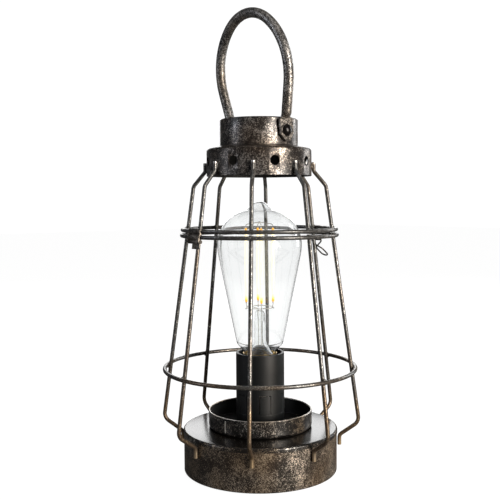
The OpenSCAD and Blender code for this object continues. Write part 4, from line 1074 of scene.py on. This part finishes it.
def makeHandle():
    half = handleLine()
    line = half + [(-y, z) for y, z in reversed(half[:-1])]
    length = sum(hypot(b[0] - a[0], b[1] - a[1]) for a, b in zip(line, line[1:]))
    # a straight tube, its rings closer together along the flattened ends
    radius, ends = handle["tube"] / 2, handle["tabDown"] + 16
    spots = [0.5 * i for i in range(int(ends * 2))]
    spots += [ends + (length - 2 * ends) * i / 110 for i in range(111)]
    spots += [length - s for s in reversed(spots[:int(ends * 2)])]
    deselect()
    bpy.ops.mesh.primitive_circle_add(vertices=32, radius=radius * mm, rotation=(0, pi / 2, 0))
    tube = bpy.context.object
    tube.name = "carryTube"
    settle(tube)
    openMesh(tube)
    for a, b in zip(spots, spots[1:]):
        bpy.ops.mesh.extrude_region_move(TRANSFORM_OT_translate={"value": ((b - a) * mm, 0, 0)})
    closeMesh()
    fillHole(tube, lambda a, b: max(a.x, b.x) < 0.001 or min(a.x, b.x) > length - 0.001)
    # the ends pressed flat: thin one way, wide the other, with chamfered corners
    for point in tube.data.vertices:
        fromEnd = min(point.co.x, length * mm - point.co.x) / mm
        up = fromEnd - handle["tabDown"] - handle["flatUp"]
        flat = 1 - eased(up / (handle["roundUp"] - handle["flatUp"]))
        flare = 1 - eased(up / handle["shoulder"])
        wide = handle["tabWide"] / 2 - 0.8 * max(0, handle["tabChamfer"] - fromEnd)
        angle = atan2(point.co.z, point.co.y)
        y, z = cos(angle), sin(angle)
        # a flattened tube's section: flat faces and half-round edges
        pressed = (handle["tabThick"] / 2 * max(-1, min(1, 3.2 * y)),
                   wide * abs(z) ** 0.8 * (1 if z > 0 else -1))
        point.co.y = (radius * y * (1 - flat) + pressed[0] * flat) * mm
        point.co.z = (radius * z * (1 - flare) + pressed[1] * flare) * mm
    path = drawLine([(across, up, 0) for across, up in line])
    path.data.dimensions = "2D"
    useModifier(tube, "CURVE", object=path, deform_axis="POS_X")
    bpy.data.objects.remove(path)
    # stood up over the pivot: across is Y, up is Z, and it leans towards the hinge
    tube.matrix_world = (Matrix.Translation((0, 0, cap["pivotUp"] * mm))
                         @ Matrix.Rotation(-radians(handle["lean"]), 4, "Y")
                         @ Matrix(((0, 0, 1, 0), (1, 0, 0, 0), (0, 1, 0, 0), (0, 0, 0, 1))))
    settle(tube)
    cutAway(tube, pivotDrill(handle["hole"], 100))
    openMesh(tube)
    faceOutward()
    complete(tube, "handle", charcoalPaint, ["carry_handle"], angle=35)


def makePivotScrews():
    inner, seat, radius = pivotScrew["inner"], pivotScrew["seat"], pivotScrew["radius"]
    head, tall = pivotScrew["head"], pivotScrew["headHeight"]
    dome = (head ** 2 + tall ** 2) / (2 * tall)
    outline = [(0.8, inner), (1.7, inner), (radius, inner + 0.3), (radius, seat)]
    outline += [(head - 0.15, seat), (head, seat + 0.12)]
    outline += arc((0, seat + tall - dome), dome, degrees(acos(head / dome)) + 3, 90, 8)[:-1]
    outline += [(0, seat + tall)]
    piece = turned("pivotScrew", outline, 48)
    fillHole(piece, lambda a, b: max(a.z, b.z) < inner + 0.01 and offMiddle(a, b) < 0.85)
    piece.matrix_world = (Matrix.Translation((0, 0, cap["pivotUp"] * mm))
                          @ Matrix.Rotation(pi / 2, 4, "X"))
    settle(piece)
    twin = copyPiece(piece, 180)
    complete(joinPieces("pivotScrews", [piece, twin]), "cage_lid",
             headBlack, ["pivot_screws"])


makeHandle()
makePivotScrews()
print("stage: handle")


bulb = {"radius": 32.1, "capTop": 90.44, "tip": 205.94, "belly": 173.34, "glass": 0.8,
        "neck": 12.3, "flank": 40.0, "taper": 11.3, "crown": 5.0, "tipRound": 9.5, "sides": 128}
brassCap = {"low": 69.44, "height": 21.0, "radius": 13.0, "thread": 0.5, "pitch": 3.62,
            "threadFrom": 1.6, "threadTo": 16.4, "runOut": 1.6, "sheet": 0.35}
stem = {"foot": 11.48, "radius": 4.35, "low": 86.44, "top": 122.94, "press": 112.0, "wall": 0.7}
stick = {"circle": 10.3, "at": 58, "low": 128.34, "length": 58.5, "radius": 1.0}
support = {"wire": 0.6, "ringDown": 3.0}


def makeGlass():
    neck, top, belly = bulb["neck"], bulb["capTop"], bulb["belly"]
    flank, taper = bulb["flank"], radians(bulb["taper"])
    waist = (bulb["radius"] - flank * (1 - cos(taper)), belly - flank * sin(taper))
    inner = waist[0] - (waist[1] - top - 7) * tan(taper)
    outline = [(neck, top - 6), (neck, top - 1), (neck, top + 1), (neck + 2.2, top + 3.6)]
    outline += [(inner + (waist[0] - inner) * t, top + 7 + (waist[1] - top - 7) * t)
                for t in (0, 0.06, 0.35, 0.7)]
    outline += arc((bulb["radius"] - flank, belly), flank, -bulb["taper"], 0, 5)
    outline += arc((bulb["crown"], belly), bulb["radius"] - bulb["crown"], 6, 78, 14)
    outline += arc((0, bulb["tip"] - bulb["tipRound"]), bulb["tipRound"], 47.6, 84, 5)
    outline = smoothOver(outline)[:-1]
    outline += [(0.5, bulb["tip"] - 0.02), (0, bulb["tip"])]
    piece = turned("bulbGlass", outline, bulb["sides"])
    thicken(piece, bulb["glass"])
    complete(piece, "bulb", bulbClear, ["bulb_glass"], angle=60)


def makeStem():
    radius, low, top, press = stem["radius"], stem["low"], stem["top"], stem["press"]
    outline = [(stem["foot"], low), (stem["foot"] - 1, low + 3), (radius + 1, low + 9),
               (radius, low + 15), (radius, press), (radius, press + 4), (radius - 0.2, top - 1.6),
               (radius - 1.6, top), (0.6, top)]
    piece = turned("glassStem", smoothOver(outline) + [(0, top)], 48)
    # the upper end pinched while soft, round the wires
    flat = Matrix.Rotation(radians(stick["at"] + 45), 3, "Z")
    for point in piece.data.vertices:
        pinch = eased((point.co.z / mm - press) / 5)
        place = flat.inverted() @ point.co
        place.x *= 1 + 0.1 * pinch
        place.y *= 1 - 0.55 * pinch
        point.co = flat @ place
    thicken(piece, stem["wall"], even=False)
    complete(piece, "bulb", stemClear, ["bulb_stem"], angle=60)


def makeBrassCap():
    low, radius, thread = brassCap["low"], brassCap["radius"], brassCap["thread"]
    outline = [(9.05, low), (10.6, low), (11.9, low + 0.5), (12.45, low + 1.4)]
    outline += [(radius - thread, low + 1.8 + 0.3 * i) for i in range(48)]
    outline += [(radius - 0.3, low + 16.6), (radius - 0.05, low + 17.2),
                (radius - 0.05, low + brassCap["height"] - 0.4), (radius, low + brassCap["height"])]
    piece = turned("brassCap", outline, 72)
    for point in piece.data.vertices:
        height = point.co.z / mm - low
        inside = min(height - brassCap["threadFrom"], brassCap["threadTo"] - height)
        fade = min(1, inside / brassCap["runOut"])
        if fade > 0:
            turn = atan2(point.co.y, point.co.x)
            wave = 0.5 + 0.5 * cos(2 * pi * height / brassCap["pitch"] - turn)
            here = offMiddle(point.co)
            scale = (here + thread * wave * fade * mm) / here
            point.co.x *= scale
            point.co.y *= scale
    thicken(piece, brassCap["sheet"], even=False)
    complete(piece, "bulb", brass, ["bulb_cap"], angle=60)


def makeFilaments():
    radius, length = stick["radius"], stick["length"]
    outline = [(0.2, 0), (0.5, 0), (0.5, 1.0), (0.85, 1.5), (radius, 2.2), (radius, length - 2.2),
               (0.85, length - 1.5), (0.5, length - 1.0), (0.5, length), (0.2, length)]
    one = turned("stick", outline, 20)
    fillHole(one, lambda a, b: offMiddle(a, b) < 0.25)
    coat(one, phosphor, nickel)
    paintFaces(one, 1, lambda place, normal: not 1.0 <= place.z <= length - 1.0)
    sticks = repeatPiece("filamentSticks", one, [
        (0, onCircle(stick["circle"], stick["at"] + 90 * k, stick["low"])) for k in range(4)])
    complete(sticks, "bulb", None, ["bulb_filaments"], angle=50)


def makeSupports():
    ringUp, top = stick["low"] - support["ringDown"], stick["low"] + stick["length"]
    circle, low, press = stick["circle"], stem["low"], stem["press"]
    ring = [onCircle(circle, a, ringUp) for a in range(0, 360, 6)]
    wires = [wireAlong("supportRing", ring, support["wire"], closed=True, facets=3)]
    # lines at azimuth 0 as (out, across, up), and where their copies stand round the bulb
    lines = {
        "hook": ([(circle + 0.8, 0, ringUp - 0.6), (circle + 0.2, 0, ringUp - 1.1),
                  (circle - 0.7, 0, ringUp - 0.5), (circle - 0.3, 0, ringUp + 1.2),
                  (circle, 0, ringUp + 2.2), (circle, 0, ringUp + 3.2)], (0, 90, 180, 270)),
        "arm": ([(circle, 0, top - 0.3), (circle, 0, top + 1.2), (circle - 1, 0, top + 1.9),
                 (5, 0, top + 2.7), (0.5, 0, top + 3.3)], (0, 90, 180, 270)),
        "post": ([(1.4, 0, low + 8), (1.4, 0, press - 6), (1.0, 0.5, press - 1),
                  (1.9, -0.5, press + 2), (1.1, 0.4, press + 5), (1.9, 0, press + 8),
                  (1.3, 0, stem["top"] + 0.6), (3.4, 0, stem["top"] + 1.7),
                  (circle, 0, ringUp)], (45, 225)),
    }
    for name, (line, turns) in lines.items():
        first = wireAlong(name, smoothOver(line), support["wire"], facets=3)
        wires += [copyPiece(first, stick["at"] + turn) for turn in turns]
        bpy.data.objects.remove(first)
    wires.append(turned("hub", [(0.15, top + 2.4), (0.7, top + 2.6), (0.9, top + 3.2),
                                (0.7, top + 3.8), (0, top + 4.0)], 16))
    complete(joinPieces("supportWires", wires), "bulb", nickel, ["bulb_supports"],
             angle=60)


makeGlass()
makeStem()
makeBrassCap()
makeFilaments()
makeSupports()
print("stage: bulb")
